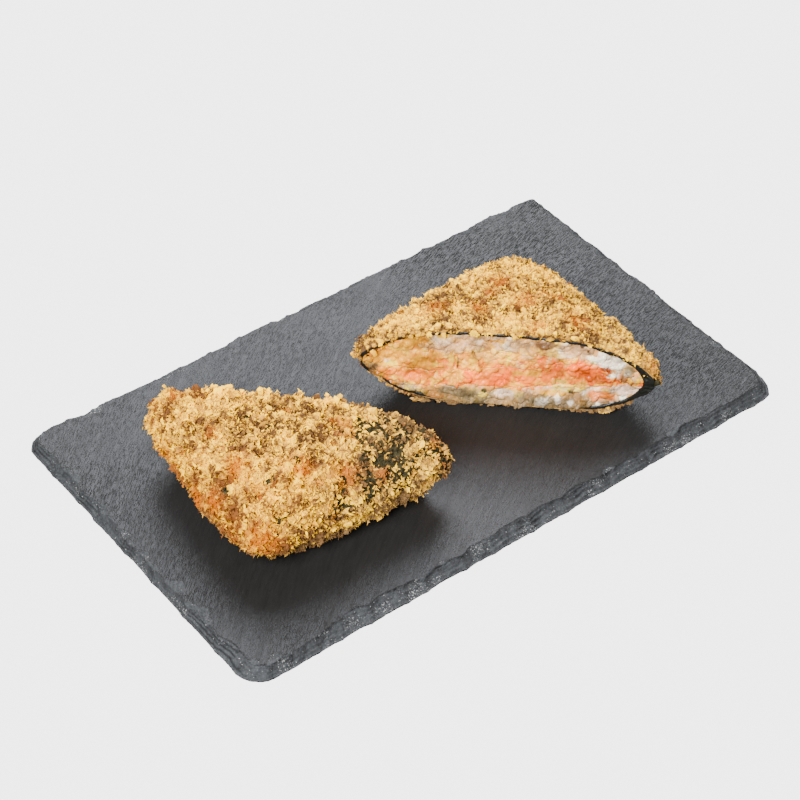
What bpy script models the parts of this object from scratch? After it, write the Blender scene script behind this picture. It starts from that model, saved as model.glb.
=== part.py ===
"""Fried sushi pillow on a slate board: a breaded square of nori, rice and salmon, cut corner to corner.

Metres, +Z up. The origin is the middle of the board's underside. +X runs along the board's long edge.
Each half of the pillow is shaped in its own frame first: X along the cut, +Y from the cut into the food,
Z up from the middle of the pillow's thickness. It is then turned and set down on the board.
"""

import collections
import math
import random

import bmesh
import bpy
import numpy as np
from mathutils import Matrix, Vector, noise

# The board
BOARD_LENGTH = 0.2512
BOARD_DEPTH = 0.1512
BOARD_THICKNESS = 0.0050
BOARD_FOOT = 0.0009  # height of the upright strip under the chipped slope
CHIP_LENGTHS = (0.009, 0.021)
CHIP_RUN = (0.0030, 0.0066)  # how far a chip runs in from the edge, at its ends and at its middle
EDGE_BITE = 0.0008  # how far the middle of a chip bites into the outline
CORNER_RADII = {"front_left": 0.011, "front_right": 0.0075, "back_right": 0.004, "back_left": 0.006}
CORNERS = (
    ("front_right", 1, -1, -90),
    ("back_right", 1, 1, 0),
    ("back_left", -1, 1, 90),
    ("front_left", -1, -1, 180),
)
EDGE_STEP = 0.0054  # spacing of the points along the board's edge

# The pillow, over its crust
HALF_HEIGHT = 0.0202
CUT_REACH = 0.0586  # from the middle of the cut to its tips
SIDE_POWER = 3.1
DOME_POWER = 0.432
CORNER_POWER = 12.0
UNDERSIDE_FLAT = 0.0021  # how much of the underside is pressed flat
TIP_RISE = 0.0015  # how far one tip of the cut lies above the middle, and the other below
INNER_CELLS = (8, 4)  # how finely the surfaces under the crust are divided, on top and down the sides

# The layers, from the outside in
CRUST = 0.0030
BASE_CRUST = 0.0022  # the crust under the pressed underside
NORI = 0.0008
GAP = 0.0003

# The crust's crags and flakes
CRUST_CELLS = (20, 6)
CRAG_SIZE = 0.0066
CRAG_HEIGHT = 0.0024
FLAKES = 42
FLAKE_LENGTH = (0.0052, 0.0092)
FLAKE_SPACING = 0.0102
FLAKE_TIP = 0.0535  # no flake grows farther along the cut than this

# The filling: heights above the pillow's mid-plane, each at a place along the cut, all in millimetres
SALMON_FLOOR = (
    (-55, -6.2), (-45, -7.5), (-36, -8.8), (-27, -9.4), (-14, -7.2), (0, -8.0),
    (14, -5.8), (22, -4.1), (31, -4.2), (40, -3.4), (50, -1.8),
)
SALMON_CEILING = (
    (-55, -4.0), (-45, -3.2), (-37, -1.5), (-27, -2.4), (-13, -0.4), (0, 1.8),
    (14, 2.6), (22, 4.6), (28, 7.2), (33, 4.0), (40, -0.2), (50, -0.4),
)
CREAM_CEILING = ((-32, 16.5), (-25, 8.0), (-17, 6.8), (-11, 8.6), (0, 8.6), (12, 8.0), (25, 8.6))
CREAM_END = 0.025
LAYERS = (("rice_base", "rice"), ("salmon", "salmon"), ("cream", "cream"), ("rice_top", "rice"))
COLUMN = 0.0048  # spacing of the places where the layers' heights are read
FOLD_START = 0.0492  # beyond here the wrap is folded solid
OPEN_TIP = 0.0500  # beyond here, at the other tip, the wrap's two sheets stay apart
TIP_OPENING = 0.0036
CUT_RELIEF = 0.0006

GRAIN_LENGTH = 0.0062
GRAIN_WIDTH = 0.0026
GRAIN_PITCH = 0.0082

# Cucumber strips: place along the cut, height above the mid-plane, width, thickness, depth into the food
CUCUMBERS = ((0.0225, -0.0058, 0.0120, 0.0036, 0.022), (-0.0080, -0.0110, 0.0038, 0.0024, 0.014))

# Each half: its name, the way its layers run, how far past the cut the pillow's middle lies, the
# pillow's half sides, how far its rounded corners reach, the cut's middle on the board and the way it runs
Half = collections.namedtuple("Half", "name turn centre sides reach place angle")
HALVES = (
    Half("right_half", 1, 0.0046, (0.0432, 0.0432), 0.0584, (0.0301, -0.0213), math.radians(-42.8)),
    Half("left_half", -1, 0.0007, (0.0464, 0.0430), 0.0574, (-0.0518, -0.0024), math.radians(131.2)),
)

DIAGONAL = Matrix.Rotation(math.radians(45), 3, "Z")
FAR = 0.2  # past everything
REACH_IN = 0.09  # past the food's far corner, from the cut


def clear_scene():
    for obj in list(bpy.data.objects):
        bpy.data.objects.remove(obj)


def material(name, colour, roughness):
    made = bpy.data.materials.new(name)
    made.use_nodes = True
    shader = made.node_tree.nodes["Principled BSDF"]
    shader.inputs["Base Color"].default_value = (*colour, 1.0)
    shader.inputs["Roughness"].default_value = roughness
    shader.inputs["Metallic"].default_value = 0.0
    return made


def add_object(name, mesh, finish=None):
    obj = bpy.data.objects.new(name, mesh)
    bpy.context.scene.collection.objects.link(obj)
    if finish:
        mesh.materials.clear()
        mesh.materials.append(finish)
    return obj


def mesh_from_bmesh(name, shape):
    mesh = bpy.data.meshes.new(name)
    shape.to_mesh(mesh)
    shape.free()
    return mesh


def boolean(obj, operation, other):
    """Joins, cuts or keeps what obj shares with another object or collection, and removes that."""
    step = obj.modifiers.new(operation.lower(), "BOOLEAN")
    step.operation = operation
    step.solver = "EXACT"
    if isinstance(other, bpy.types.Collection):
        step.operand_type = "COLLECTION"
        step.collection = other
        used = list(other.objects)
    else:
        step.object = other
        used = [other]
    bpy.context.view_layer.update()
    graph = bpy.context.evaluated_depsgraph_get()
    mesh = bpy.data.meshes.new_from_object(obj.evaluated_get(graph))
    obj.modifiers.clear()
    obj.data = mesh
    for tool in used:
        bpy.data.objects.remove(tool)
    if isinstance(other, bpy.types.Collection):
        bpy.data.collections.remove(other)


def box_grid(half, top_cells, side_cells):
    """A box of these half sizes whose top and sides are divided into cells."""
    shape = bmesh.new()
    bmesh.ops.create_cube(shape, size=2.0)
    upright = [e for e in shape.edges if abs(e.verts[0].co.z - e.verts[1].co.z) > 1.0]
    bmesh.ops.subdivide_edges(shape, edges=upright, cuts=side_cells - 1)
    level = [e for e in shape.edges if abs(e.verts[0].co.z - e.verts[1].co.z) < 1e-6]
    bmesh.ops.subdivide_edges(shape, edges=level, cuts=top_cells - 1, use_grid_fill=True)
    for vertex in shape.verts:
        vertex.co = Vector(a * b for a, b in zip(vertex.co, half))
    return shape


def pillow_points(directions, half, inset):
    """Where rays from the pillow's middle meet its surface, taken in by an inset.

    On the surface, the height over the half height, to the power 1 / DOME_POWER, equals the product of
    one minus each plan distance over its limit, to a power: across, along, and out to the corners.
    """
    height, reach = HALF_HEIGHT - inset, half.reach - inset
    x, y, z = directions.T
    u, v = abs(x) / (half.sides[0] - inset), abs(y) / (half.sides[1] - inset)
    plan = np.hypot(x, y)
    limit = 1 / np.maximum(np.maximum(u, v), 1e-9)
    limit = np.minimum(limit, reach / np.maximum(plan, 1e-9))
    limit = np.minimum(limit, height / np.maximum(abs(z), 1e-9) * 1.001)
    low, high = np.zeros_like(limit), limit
    for _ in range(48):
        mid = (low + high) / 2
        room = 1 - np.minimum(u * mid, 1) ** SIDE_POWER
        room *= 1 - np.minimum(v * mid, 1) ** SIDE_POWER
        room *= 1 - np.minimum(plan * mid / reach, 1) ** CORNER_POWER
        inside = (abs(z * mid) / height) ** (1 / DOME_POWER) < room
        low, high = np.where(inside, mid, low), np.where(inside, high, mid)
    return directions * low[:, None]


def pillow(name, half, inset, cells):
    """The whole pillow, taken in by an inset, its corners on the cut's axes and its middle off the cut.

    The outer surface is craggy. The underside of an inner surface is pressed flat at its own height.
    """
    shape = box_grid((*half.sides, HALF_HEIGHT), *cells)
    rays = np.array([v.co for v in shape.verts])
    floor = UNDERSIDE_FLAT + BASE_CRUST - HALF_HEIGHT + inset - CRUST
    for vertex, point in zip(shape.verts, pillow_points(rays, half, inset)):
        vertex.co = Vector(point)
        if inset:
            vertex.co.z = max(vertex.co.z, floor)
        else:
            vertex.co += vertex.co.normalized() * crag(vertex.co)
        vertex.co = to_cut_frame(vertex.co, half)
    bmesh.ops.triangulate(shape, faces=shape.faces, quad_method="FIXED")
    return add_object(name, mesh_from_bmesh(name, shape))


def crag(point):
    """Rounded crumbs, one to each cell of a scattered pattern, highest at the cell's middle."""
    nearest, _ = noise.voronoi(point / CRAG_SIZE)
    return CRAG_HEIGHT * (0.75 - 1.5 * min(nearest[0], 1.0))


def to_cut_frame(point, half):
    """A point of the pillow, seen from the middle of the cut, with one tip settled lower than the other."""
    turned = DIAGONAL @ point + Vector((0, half.centre, 0))
    turned.z += settle(half.turn * turned.x)
    return turned


def settle(x):
    return -TIP_RISE * (x / CUT_REACH) ** 3


def block(name, low, high):
    shape = bmesh.new()
    bmesh.ops.create_cube(shape, size=1.0)
    for vertex in shape.verts:
        vertex.co = Vector(lo if c < 0 else hi for c, lo, hi in zip(vertex.co, low, high))
    return add_object(name, mesh_from_bmesh(name, shape))


def shard(place, normal, length, draw):
    """One flake of breadcrumb: a broad eight-sided splinter, leaning off the surface."""
    lean = Vector((draw.uniform(-1, 1), draw.uniform(-1, 1), draw.uniform(-1, 1)))
    along = (lean - lean.dot(normal) * normal * 0.7).normalized()
    across = along.cross(normal).normalized()
    up = across.cross(along)
    width, height = length * draw.uniform(0.28, 0.40), length * draw.uniform(0.20, 0.28)
    corners = [place + along * length * s / 2 for s in (-1, 1)]
    corners += [place + across * width * s + along * length * draw.uniform(-0.2, 0.2) for s in (-1, 1)]
    corners += [place + up * height * s + along * length * draw.uniform(-0.15, 0.15) for s in (-1, 1)]
    shape = bmesh.new()
    tips = [shape.verts.new(c) for c in corners]
    bmesh.ops.convex_hull(shape, input=tips)
    return mesh_from_bmesh("shard", shape)


def scatter_flakes(half, seed):
    """Flakes over the crust that shows, evenly spread, the longest first."""
    draw = random.Random(seed)
    flakes = bpy.data.collections.new("flakes")
    bpy.context.scene.collection.children.link(flakes)
    places = []
    tries = 0
    while len(places) < FLAKES and tries < 8000:
        tries += 1
        ray = np.array([[draw.gauss(0, 1), draw.gauss(0, 1), draw.gauss(0, 0.45)]])
        ray *= (*half.sides, HALF_HEIGHT * 2)
        point = Vector(pillow_points(ray, half, 0.0003)[0])
        place = to_cut_frame(point, half)
        if place.y < FLAKE_LENGTH[0] / 2 or place.z < -HALF_HEIGHT * 0.5 or abs(place.x) > FLAKE_TIP:
            continue
        if any((place - other).length < FLAKE_SPACING for other in places):
            continue
        places.append(place)
        length = FLAKE_LENGTH[1] + (FLAKE_LENGTH[0] - FLAKE_LENGTH[1]) * len(places) / FLAKES
        outward = Vector((point.x ** 3 / half.sides[0] ** 4, point.y ** 3 / half.sides[1] ** 4, 0))
        outward.z = point.z / HALF_HEIGHT ** 2
        outward = (DIAGONAL @ outward).normalized()
        flakes.objects.link(bpy.data.objects.new("flake", shard(place, outward, length, draw)))
    return flakes


def crust(half, seed, finish):
    """The breadcrumb coat of one half: a craggy shell, open at the cut, flat where it rests."""
    coat = pillow(f"{half.name}_crust", half, 0.0, CRUST_CELLS)
    boolean(coat, "UNION", scatter_flakes(half, seed))
    kept = block("kept", (-FAR, 0, -HALF_HEIGHT + UNDERSIDE_FLAT), (FAR, FAR, FAR))
    boolean(coat, "INTERSECT", kept)
    boolean(coat, "DIFFERENCE", pillow("cavity", half, CRUST, INNER_CELLS))
    finish_with(coat, finish)
    return coat


def nori(half, finish):
    """The seaweed wrap: a thin shell just inside the crust, folded solid at one tip and open at the other."""
    wrap = pillow(f"{half.name}_nori", half, CRUST + GAP, INNER_CELLS)
    boolean(wrap, "INTERSECT", block("kept", (-FAR, 0, -FAR), (FAR, FAR, FAR)))
    cavity = pillow("cavity", half, CRUST + GAP + NORI, INNER_CELLS)
    boolean(cavity, "DIFFERENCE", tip_block("fold", half.turn * FOLD_START, (-FAR, FAR)))
    boolean(wrap, "DIFFERENCE", cavity)
    middle = settle(-OPEN_TIP)
    opening = (middle - TIP_OPENING / 2, middle + TIP_OPENING / 2)
    boolean(wrap, "DIFFERENCE", tip_block("opening", -half.turn * OPEN_TIP, opening))
    finish_with(wrap, finish)
    return wrap


def finish_with(obj, finish):
    obj.data.materials.clear()
    obj.data.materials.append(finish)


def tip_block(name, start, heights):
    """Everything past a place along the cut, outwards, between two heights."""
    low, high = sorted((start, math.copysign(FAR, start)))
    return block(name, (low, -FAR, heights[0]), (high, FAR, heights[1]))


def height_at(curve, x):
    """A curve's height in metres at a place along the cut, with a small ripple of its own."""
    places, heights = np.array(curve).T / 1000
    ripple = 0.0003 * math.sin(x / 0.0021 + 900 * heights[0]) + 0.0002 * math.sin(x / 0.0013)
    return float(np.interp(x, places, heights)) + ripple


def layer_bounds(layer, x):
    """A layer's floor and ceiling at a place along the cut, half a gap inside its share."""
    salmon_floor = height_at(SALMON_FLOOR, x)
    salmon_ceiling = height_at(SALMON_CEILING, x)
    cream_ceiling = salmon_ceiling
    if x <= CREAM_END:
        cream_ceiling = max(height_at(CREAM_CEILING, x), salmon_ceiling + 2.5 * GAP)
    floor, ceiling = {
        "rice_base": (-HALF_HEIGHT, salmon_floor),
        "salmon": (salmon_floor, salmon_ceiling),
        "cream": (salmon_ceiling, cream_ceiling),
        "rice_top": (cream_ceiling, HALF_HEIGHT),
    }[layer]
    return floor + GAP / 2, ceiling - GAP / 2


def slab(name, layer, turn, front, rows):
    """A layer's share of the space inside the wrap, from a rough front face to past the food."""
    places = [COLUMN * i for i in range(-13, 12) if COLUMN * i < FOLD_START - COLUMN / 2]
    places.append(FOLD_START - GAP)
    if layer == "cream":
        places = [x for x in places if x <= CREAM_END]
    if layer == "rice_top":
        places = [x for x in places if layer_bounds(layer, x)[0] < HALF_HEIGHT * 0.8]
    shape = bmesh.new()
    sheets = []
    for depth in (None, REACH_IN):
        sheet = []
        for x in places:
            column = []
            for z in np.linspace(*layer_bounds(layer, x), rows + 1):
                y = front(turn * x, z) if depth is None else depth
                column.append(shape.verts.new((turn * x, y, z)))
            sheet.append(column)
        sheets.append(sheet)
    near, far = sheets
    columns = len(places) - 1
    for i in range(columns):
        for j in range(rows):
            for sheet in sheets:
                shape.faces.new([sheet[i][j], sheet[i + 1][j], sheet[i + 1][j + 1], sheet[i][j + 1]])
        for j in (0, rows):
            shape.faces.new([near[i][j], near[i + 1][j], far[i + 1][j], far[i][j]])
    for i in (0, columns):
        for j in range(rows):
            shape.faces.new([near[i][j], near[i][j + 1], far[i][j + 1], far[i][j]])
    bmesh.ops.recalc_face_normals(shape, faces=shape.faces)
    bmesh.ops.triangulate(shape, faces=shape.faces)
    return add_object(name, mesh_from_bmesh(name, shape))


def rough_front(scale, seed):
    """The cut face's relief: soft lumps no deeper than twice CUT_RELIEF."""

    def front(x, z):
        lump = noise.noise(Vector((x / scale, seed, z / scale)))
        return -CUT_RELIEF * (0.5 + 1.5 * lump)

    return front


def grain(place, tilt):
    """A cooked rice grain lying in the cut face: a five-sided spindle."""
    shape = bmesh.new()
    bmesh.ops.create_uvsphere(shape, u_segments=5, v_segments=3, radius=0.5)
    shape.transform(
        Matrix.Translation(place)
        @ Matrix.Rotation(tilt, 4, "Y")
        @ Matrix.Rotation(math.radians(90), 4, "Y")
        @ Matrix.Diagonal((GRAIN_WIDTH, GRAIN_WIDTH, GRAIN_LENGTH, 1.0))
    )
    return mesh_from_bmesh("grain", shape)


def lens_height(x, half):
    """Half the filling's height at the cut, at a place along it."""
    inset = CRUST + 2 * GAP + NORI
    at = Matrix.Rotation(math.radians(-45), 3, "Z") @ Vector((x, -half.centre, 0))
    room = 1 - (at.length / (half.reach - inset)) ** CORNER_POWER
    for place, side in zip(at, half.sides):
        room *= max(1 - (abs(place) / (side - inset)) ** SIDE_POWER, 0)
    return (HALF_HEIGHT - inset) * max(room, 0) ** DOME_POWER


def scatter_grains(layer, half, seed):
    """Rice grains standing a little proud of the cut, wherever the layer is thick enough for one."""
    draw = random.Random(seed)
    grains = bpy.data.collections.new("grains")
    bpy.context.scene.collection.children.link(grains)
    floor_height = UNDERSIDE_FLAT + BASE_CRUST - HALF_HEIGHT + 2 * GAP + NORI
    for place in np.arange(-CUT_REACH + GRAIN_LENGTH, FOLD_START - GRAIN_LENGTH / 2, GRAIN_PITCH):
        place = float(place) + draw.uniform(-0.001, 0.001)
        ends = (place - GRAIN_LENGTH * 0.4, place + GRAIN_LENGTH * 0.4)
        room = min(lens_height(half.turn * end, half) for end in ends) - 0.0009
        low, high = layer_bounds(layer, place)
        low = max(low, settle(place) + max(-room, floor_height))
        high = min(high, settle(place) + room)
        spare = high - low - GRAIN_WIDTH
        if spare < 0.0004:
            continue
        tilt = draw.uniform(-0.35, 0.35) * min(1.0, spare / 0.003)
        z = low + GRAIN_WIDTH / 2 + draw.uniform(0.1, 0.9) * spare
        at = (half.turn * place, draw.uniform(0.0, 0.0005), z)
        grains.objects.link(bpy.data.objects.new("grain", grain(at, tilt)))
    return grains


def filling_layer(half, layer, seed, finish):
    """One layer of the filling: the inside of the wrap, kept between the layer's floor and ceiling."""
    made = pillow(f"{half.name}_{layer}", half, CRUST + 2 * GAP + NORI, INNER_CELLS)
    rows = 3 if layer == "salmon" else 2
    boolean(made, "INTERSECT", slab("slab", layer, half.turn, rough_front(0.0045, seed), rows))
    if layer.startswith("rice"):
        boolean(made, "UNION", scatter_grains(layer, half, seed))
        boolean(made, "INTERSECT", slab("trim", layer, half.turn, lambda x, z: -0.004, 1))
    finish_with(made, finish)
    return made


def cucumber_block(name, strip, turn, grow):
    """A strip of cucumber that runs into the food from the cut, rounded along its length."""
    x, z, width, thickness, depth = strip
    front = CUT_RELIEF * (4 if grow else 1)
    shape = bmesh.new()
    bmesh.ops.create_cube(shape, size=1.0)
    for vertex in shape.verts:
        vertex.co.x = turn * x + vertex.co.x * (width + 2 * grow)
        vertex.co.y = -front if vertex.co.y < 0 else depth + grow
        vertex.co.z = z + vertex.co.z * (thickness + 2 * grow)
    lengthwise = [e for e in shape.edges if abs(e.verts[0].co.y - e.verts[1].co.y) > 0.001]
    bmesh.ops.bevel(
        shape, geom=lengthwise, offset=thickness * 0.42 + grow, segments=3, profile=0.5, affect="EDGES"
    )
    return add_object(name, mesh_from_bmesh(name, shape))


def build_half(half, finishes, seed):
    """All the pieces of one half, set down on the board."""
    pieces = [crust(half, seed, finishes["crust"]), nori(half, finishes["nori"])]
    for step, (layer, finish) in enumerate(LAYERS, 1):
        made = filling_layer(half, layer, 10 * seed + step, finishes[finish])
        if layer in ("rice_base", "salmon"):
            for strip in CUCUMBERS:
                boolean(made, "DIFFERENCE", cucumber_block("pocket", strip, half.turn, GAP))
        pieces.append(made)
    for number, strip in enumerate(CUCUMBERS, 1):
        made = cucumber_block(f"{half.name}_cucumber_{number}", strip, half.turn, 0.0)
        finish_with(made, finishes["cucumber"])
        pieces.append(made)
    for piece in pieces:
        piece.location = (*half.place, BOARD_THICKNESS + GAP + HALF_HEIGHT - UNDERSIDE_FLAT)
        piece.rotation_euler.z = half.angle


def board_outline():
    """Points round the board's edge, anticlockwise, each with its outward direction."""
    half_x, half_y = BOARD_LENGTH / 2, BOARD_DEPTH / 2
    points, outward = [], []
    for corner, sign_x, sign_y, start in CORNERS:
        radius = CORNER_RADII[corner]
        middle = np.array([sign_x * (half_x - radius), sign_y * (half_y - radius)])
        steps = round(radius * math.pi / 2 / EDGE_STEP) + 3
        for angle in np.radians(np.linspace(start, start + 90, steps)):
            direction = np.array([math.cos(angle), math.sin(angle)])
            points.append(middle + radius * direction)
            outward.append(direction)
    filled, directions = [], []
    for here, after, way in zip(points, points[1:] + points[:1], outward):
        pieces = max(1, round(np.linalg.norm(after - here) / EDGE_STEP))
        for step in range(pieces):
            filled.append(here + (after - here) * step / pieces)
            directions.append(way)
    return np.array(filled), np.array(directions)


def chips(distances, total):
    """How deep in a chip each point of the edge lies: 0 where two chips meet, most in a chip's middle."""
    draw = random.Random(5)
    starts = [0.0]
    while starts[-1] < total - CHIP_LENGTHS[1]:
        starts.append(starts[-1] + draw.uniform(*CHIP_LENGTHS))
    starts.append(total)
    sizes = [draw.uniform(0.45, 1.0) for _ in starts]
    depths = []
    for distance in distances:
        chip = max(i for i, start in enumerate(starts[:-1]) if start <= distance)
        along = (distance - starts[chip]) / (starts[chip + 1] - starts[chip])
        depths.append(sizes[chip] * math.sqrt(4 * along * (1 - along)))
    return np.array(depths)


def board(name, finish):
    """The slate: flat underneath, its edges chipped to a slope from the upper face out to a thin foot."""
    points, outward = board_outline()
    steps = np.linalg.norm(np.roll(points, -1, axis=0) - points, axis=1)
    deep = chips(np.concatenate(([0.0], np.cumsum(steps)[:-1])), steps.sum())
    draw = random.Random(9)
    rough = np.array([draw.uniform(-1, 1) for _ in points])
    bite = EDGE_BITE * deep + 0.0002 * rough
    run = CHIP_RUN[0] + (CHIP_RUN[1] - CHIP_RUN[0]) * deep
    rings = (
        (bite + 0.0003 + 0.0002 * rough, 0.0),
        (bite, BOARD_FOOT),
        (bite + run * 0.5, BOARD_THICKNESS * (0.66 - 0.16 * deep + 0.04 * rough)),
        (bite + run, BOARD_THICKNESS),
    )
    shape = bmesh.new()
    loops = []
    size = None
    for inward, height in rings:
        at = points - outward * inward[:, None]
        if size is None:
            widest = points - outward * bite[:, None]
            low, high = widest.min(axis=0), widest.max(axis=0)
            size = np.array([BOARD_LENGTH, BOARD_DEPTH]) / (high - low)
        at = (at - (low + high) / 2) * size
        heights = np.broadcast_to(height, len(points))
        loops.append([shape.verts.new((x, y, z)) for (x, y), z in zip(at, heights)])
    count = len(points)
    for lower, upper in zip(loops, loops[1:]):
        for i in range(count):
            j = (i + 1) % count
            shape.faces.new((lower[i], lower[j], upper[j], upper[i]))
    shape.faces.new(loops[-1])
    shape.faces.new(loops[0][::-1])
    bmesh.ops.triangulate(shape, faces=shape.faces)
    return add_object(name, mesh_from_bmesh(name, shape), finish)


def main():
    clear_scene()
    finishes = {
        "slate": material("slate", (0.075, 0.080, 0.090), 0.60),
        "crust": material("crust", (0.62, 0.40, 0.16), 0.75),
        "nori": material("nori", (0.020, 0.026, 0.018), 0.45),
        "rice": material("rice", (0.80, 0.76, 0.68), 0.45),
        "salmon": material("salmon", (0.80, 0.33, 0.20), 0.45),
        "cream": material("cream", (0.86, 0.70, 0.42), 0.45),
        "cucumber": material("cucumber", (0.36, 0.45, 0.16), 0.40),
    }
    board("slate_board", finishes["slate"])
    for seed, half in enumerate(HALVES, 11):
        build_half(half, finishes, seed)


main()
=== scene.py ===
"""The looks of a fried sushi sandwich: a breaded square of nori, rice and salmon, cut corner to corner.

Its two halves lie apart on a chipped slate board. Metres, +Z up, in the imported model's frame. Each half is
shaped in its own frame first: X along the cut, +Y from the cut into the food, Z up from the middle of its
thickness. It is then turned and set down on the board.
"""

import collections
import math
import random

import bmesh
import bpy
import numpy as np
from bpy.props import FloatProperty, FloatVectorProperty, IntProperty, PointerProperty
from bpy.types import Operator, Panel, PropertyGroup
from mathutils import Matrix, Vector


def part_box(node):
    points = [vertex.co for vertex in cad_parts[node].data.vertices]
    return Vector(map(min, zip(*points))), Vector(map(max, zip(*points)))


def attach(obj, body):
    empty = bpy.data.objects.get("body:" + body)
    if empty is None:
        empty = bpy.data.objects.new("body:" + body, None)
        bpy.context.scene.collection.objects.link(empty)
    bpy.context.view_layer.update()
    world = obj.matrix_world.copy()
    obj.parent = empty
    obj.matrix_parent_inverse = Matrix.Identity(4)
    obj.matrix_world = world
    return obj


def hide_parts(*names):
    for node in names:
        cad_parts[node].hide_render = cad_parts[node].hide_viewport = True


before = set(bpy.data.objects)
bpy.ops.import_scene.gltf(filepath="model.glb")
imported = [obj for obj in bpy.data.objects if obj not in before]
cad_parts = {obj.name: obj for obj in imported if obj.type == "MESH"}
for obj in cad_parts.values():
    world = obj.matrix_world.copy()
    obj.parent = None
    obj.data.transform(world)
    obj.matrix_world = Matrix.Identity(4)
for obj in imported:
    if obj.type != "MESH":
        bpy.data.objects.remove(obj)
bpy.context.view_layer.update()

bl_info = {
    "name": "Fried sushi sandwich on slate",
    "version": (1, 0, 0),
    "blender": (4, 5, 0),
    "location": "3D View > Sidebar > Fried sushi",
    "description": "Builds a breaded, halved sushi sandwich and its slate board",
    "category": "Object",
}

MM = 0.001
ROOT_TWO = math.sqrt(2)

# The board, as it lies in the frame
BOARD_LOW, BOARD_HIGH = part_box("slate_board")
BOARD_HALF = np.array([(BOARD_HIGH[0] - BOARD_LOW[0]) / 2, (BOARD_HIGH[1] - BOARD_LOW[1]) / 2])
BOARD_TOP = BOARD_HIGH[2]
BOARD_FOOT = 0.0009  # height of the edge that the chipped border starts from
CORNER_RADII = np.array([[0.011, 0.009], [0.0105, 0.005]])  # left, then right: front and back
CORNER_POINTS = 24
CHIP_LENGTHS = (0.009, 0.021)
CHIP_SIZES = (0.45, 1.0)  # how deep the chips are beside the deepest
CHIP_RUN = (0.0030, 0.0066)  # how far in a chip reaches
EDGE_BITE = 0.0008  # how far a chip draws in the outline
BORDER_WIDTH = 0.0125  # of the band with close rows of points
BORDER_ROWS = 46
SPLIT = 0.0011  # thickness of the layers that the slate's border splits into
SPLIT_DEPTH = 0.92  # how sharply they step: 0 is a smooth slope, 1 has level treads
GRAIN_ANGLE = math.radians(30.5)
GRAIN_BEND = 1.45
CREASE = 0.00045  # how far the border stays below the flat where they meet
BITES = 260  # small hollows near the edge; their sizes, depths over their sizes, and how far in they lie
BITE_SIZES = (0.0010, 0.0034)
BITE_DEPTHS = (0.16, 0.34)
BITE_REACH = 0.0044
BITE_ZONE = 0.011  # farther in than any of them gets
UNDER_SHARES = np.array([0.0, 0.02, 0.3, 0.7, 1.0])  # of the way in, where rows lie underneath
SPINE = 0.050  # half the length of the line down the board's middle, where its rows of points end

# The pillow, over its crust
HALF_HEIGHT = 0.0202
CUT_REACH = 0.0586  # half the length of the cut
SIDE_POWER = 3.1  # how late the top falls off towards its sides, and how late towards its corners
CORNER_POWER = 12.0
DOME_POWER = 0.432  # how blunt its rim is
UNDERSIDE_FLAT = 0.0021  # how much of the height the flat underside takes off
UNDERSIDE = UNDERSIDE_FLAT - HALF_HEIGHT  # height of the food's underside, from its own middle
BASE_CRUST = 0.0022  # thickness of the crust underneath, and of the rest
CRUST = 0.0030
TIP_RISE = 0.0015  # how far the middle lies lower at one tip of the cut and higher at the other
NORI_OUTSIDE = 0.0031  # how deep the wrap's outer face lies
NORI_INSIDE = 0.0040
FILLING_INSET = 0.0041
FOLD_START = 0.0485  # where along the cut the wrap is folded shut, and over how long it closes
FOLD_LENGTH = 0.0080
OPEN_TIP = 0.0515  # where the wrap ends at the other tip
FLARE_DEPTH = 0.009  # how far into the food the cut's spreading reaches
WRAP_FLARE = (0.052, 0.082)  # how much wider and higher the wrap is at the cut
FILLING_FLARE = (0.058, 0.098)
CRUST_SUNK = 0.0009  # how far the coat lies under its crumbs' tips
TIP_TRIM = 0.0016  # how far the crust stops short of the open tip
SAG = 0.0014  # how far the rice hangs over the wrap at the cut
BOARD_GAP = 0.0003
FOOD_MIDDLE = BOARD_TOP + HALF_HEIGHT + BOARD_GAP - UNDERSIDE_FLAT
FINE = 420  # points read along each curve before they are spaced evenly
WELD = 1e-6  # points nearer than this become one

# The filling's borders: heights above the pillow's mid-plane, each at a place along the cut, in millimetres
BORDERS = {
    "salmon_floor": (
        (-55, -6.2), (-45, -7.5), (-36, -8.8), (-27, -9.4), (-14, -7.2), (0, -8.0),
        (14, -5.8), (22, -4.1), (31, -4.2), (40, -3.4), (50, -1.8),
    ),
    "salmon_ceiling": (
        (-55, -4.0), (-45, -3.2), (-37, -1.5), (-27, -2.4), (-13, -0.4), (0, 1.8),
        (14, 2.6), (22, 4.6), (28, 7.2), (33, 4.0), (40, -0.2), (50, -0.4),
    ),
    "cream_ceiling": ((-32, 16.5), (-25, 8.0), (-17, 6.8), (-11, 8.6), (0, 8.6), (12, 8.0), (25, 8.6)),
}
CREAM_END = 0.025  # where along the cut the cream layer runs out
# Each strip's place along the cut, height, width, thickness and depth into the food
CUCUMBERS = ((0.0225, -0.0058, 0.0120, 0.0036, 0.022), (-0.0080, -0.0110, 0.0038, 0.0024, 0.014))
# Thin slits in the cut, each from one point to another, in millimetres
SLITS = (((-18.3, 5.1), (-18.6, -0.2)), ((-12.7, 7.7), (-10.2, 2.2)))

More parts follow.
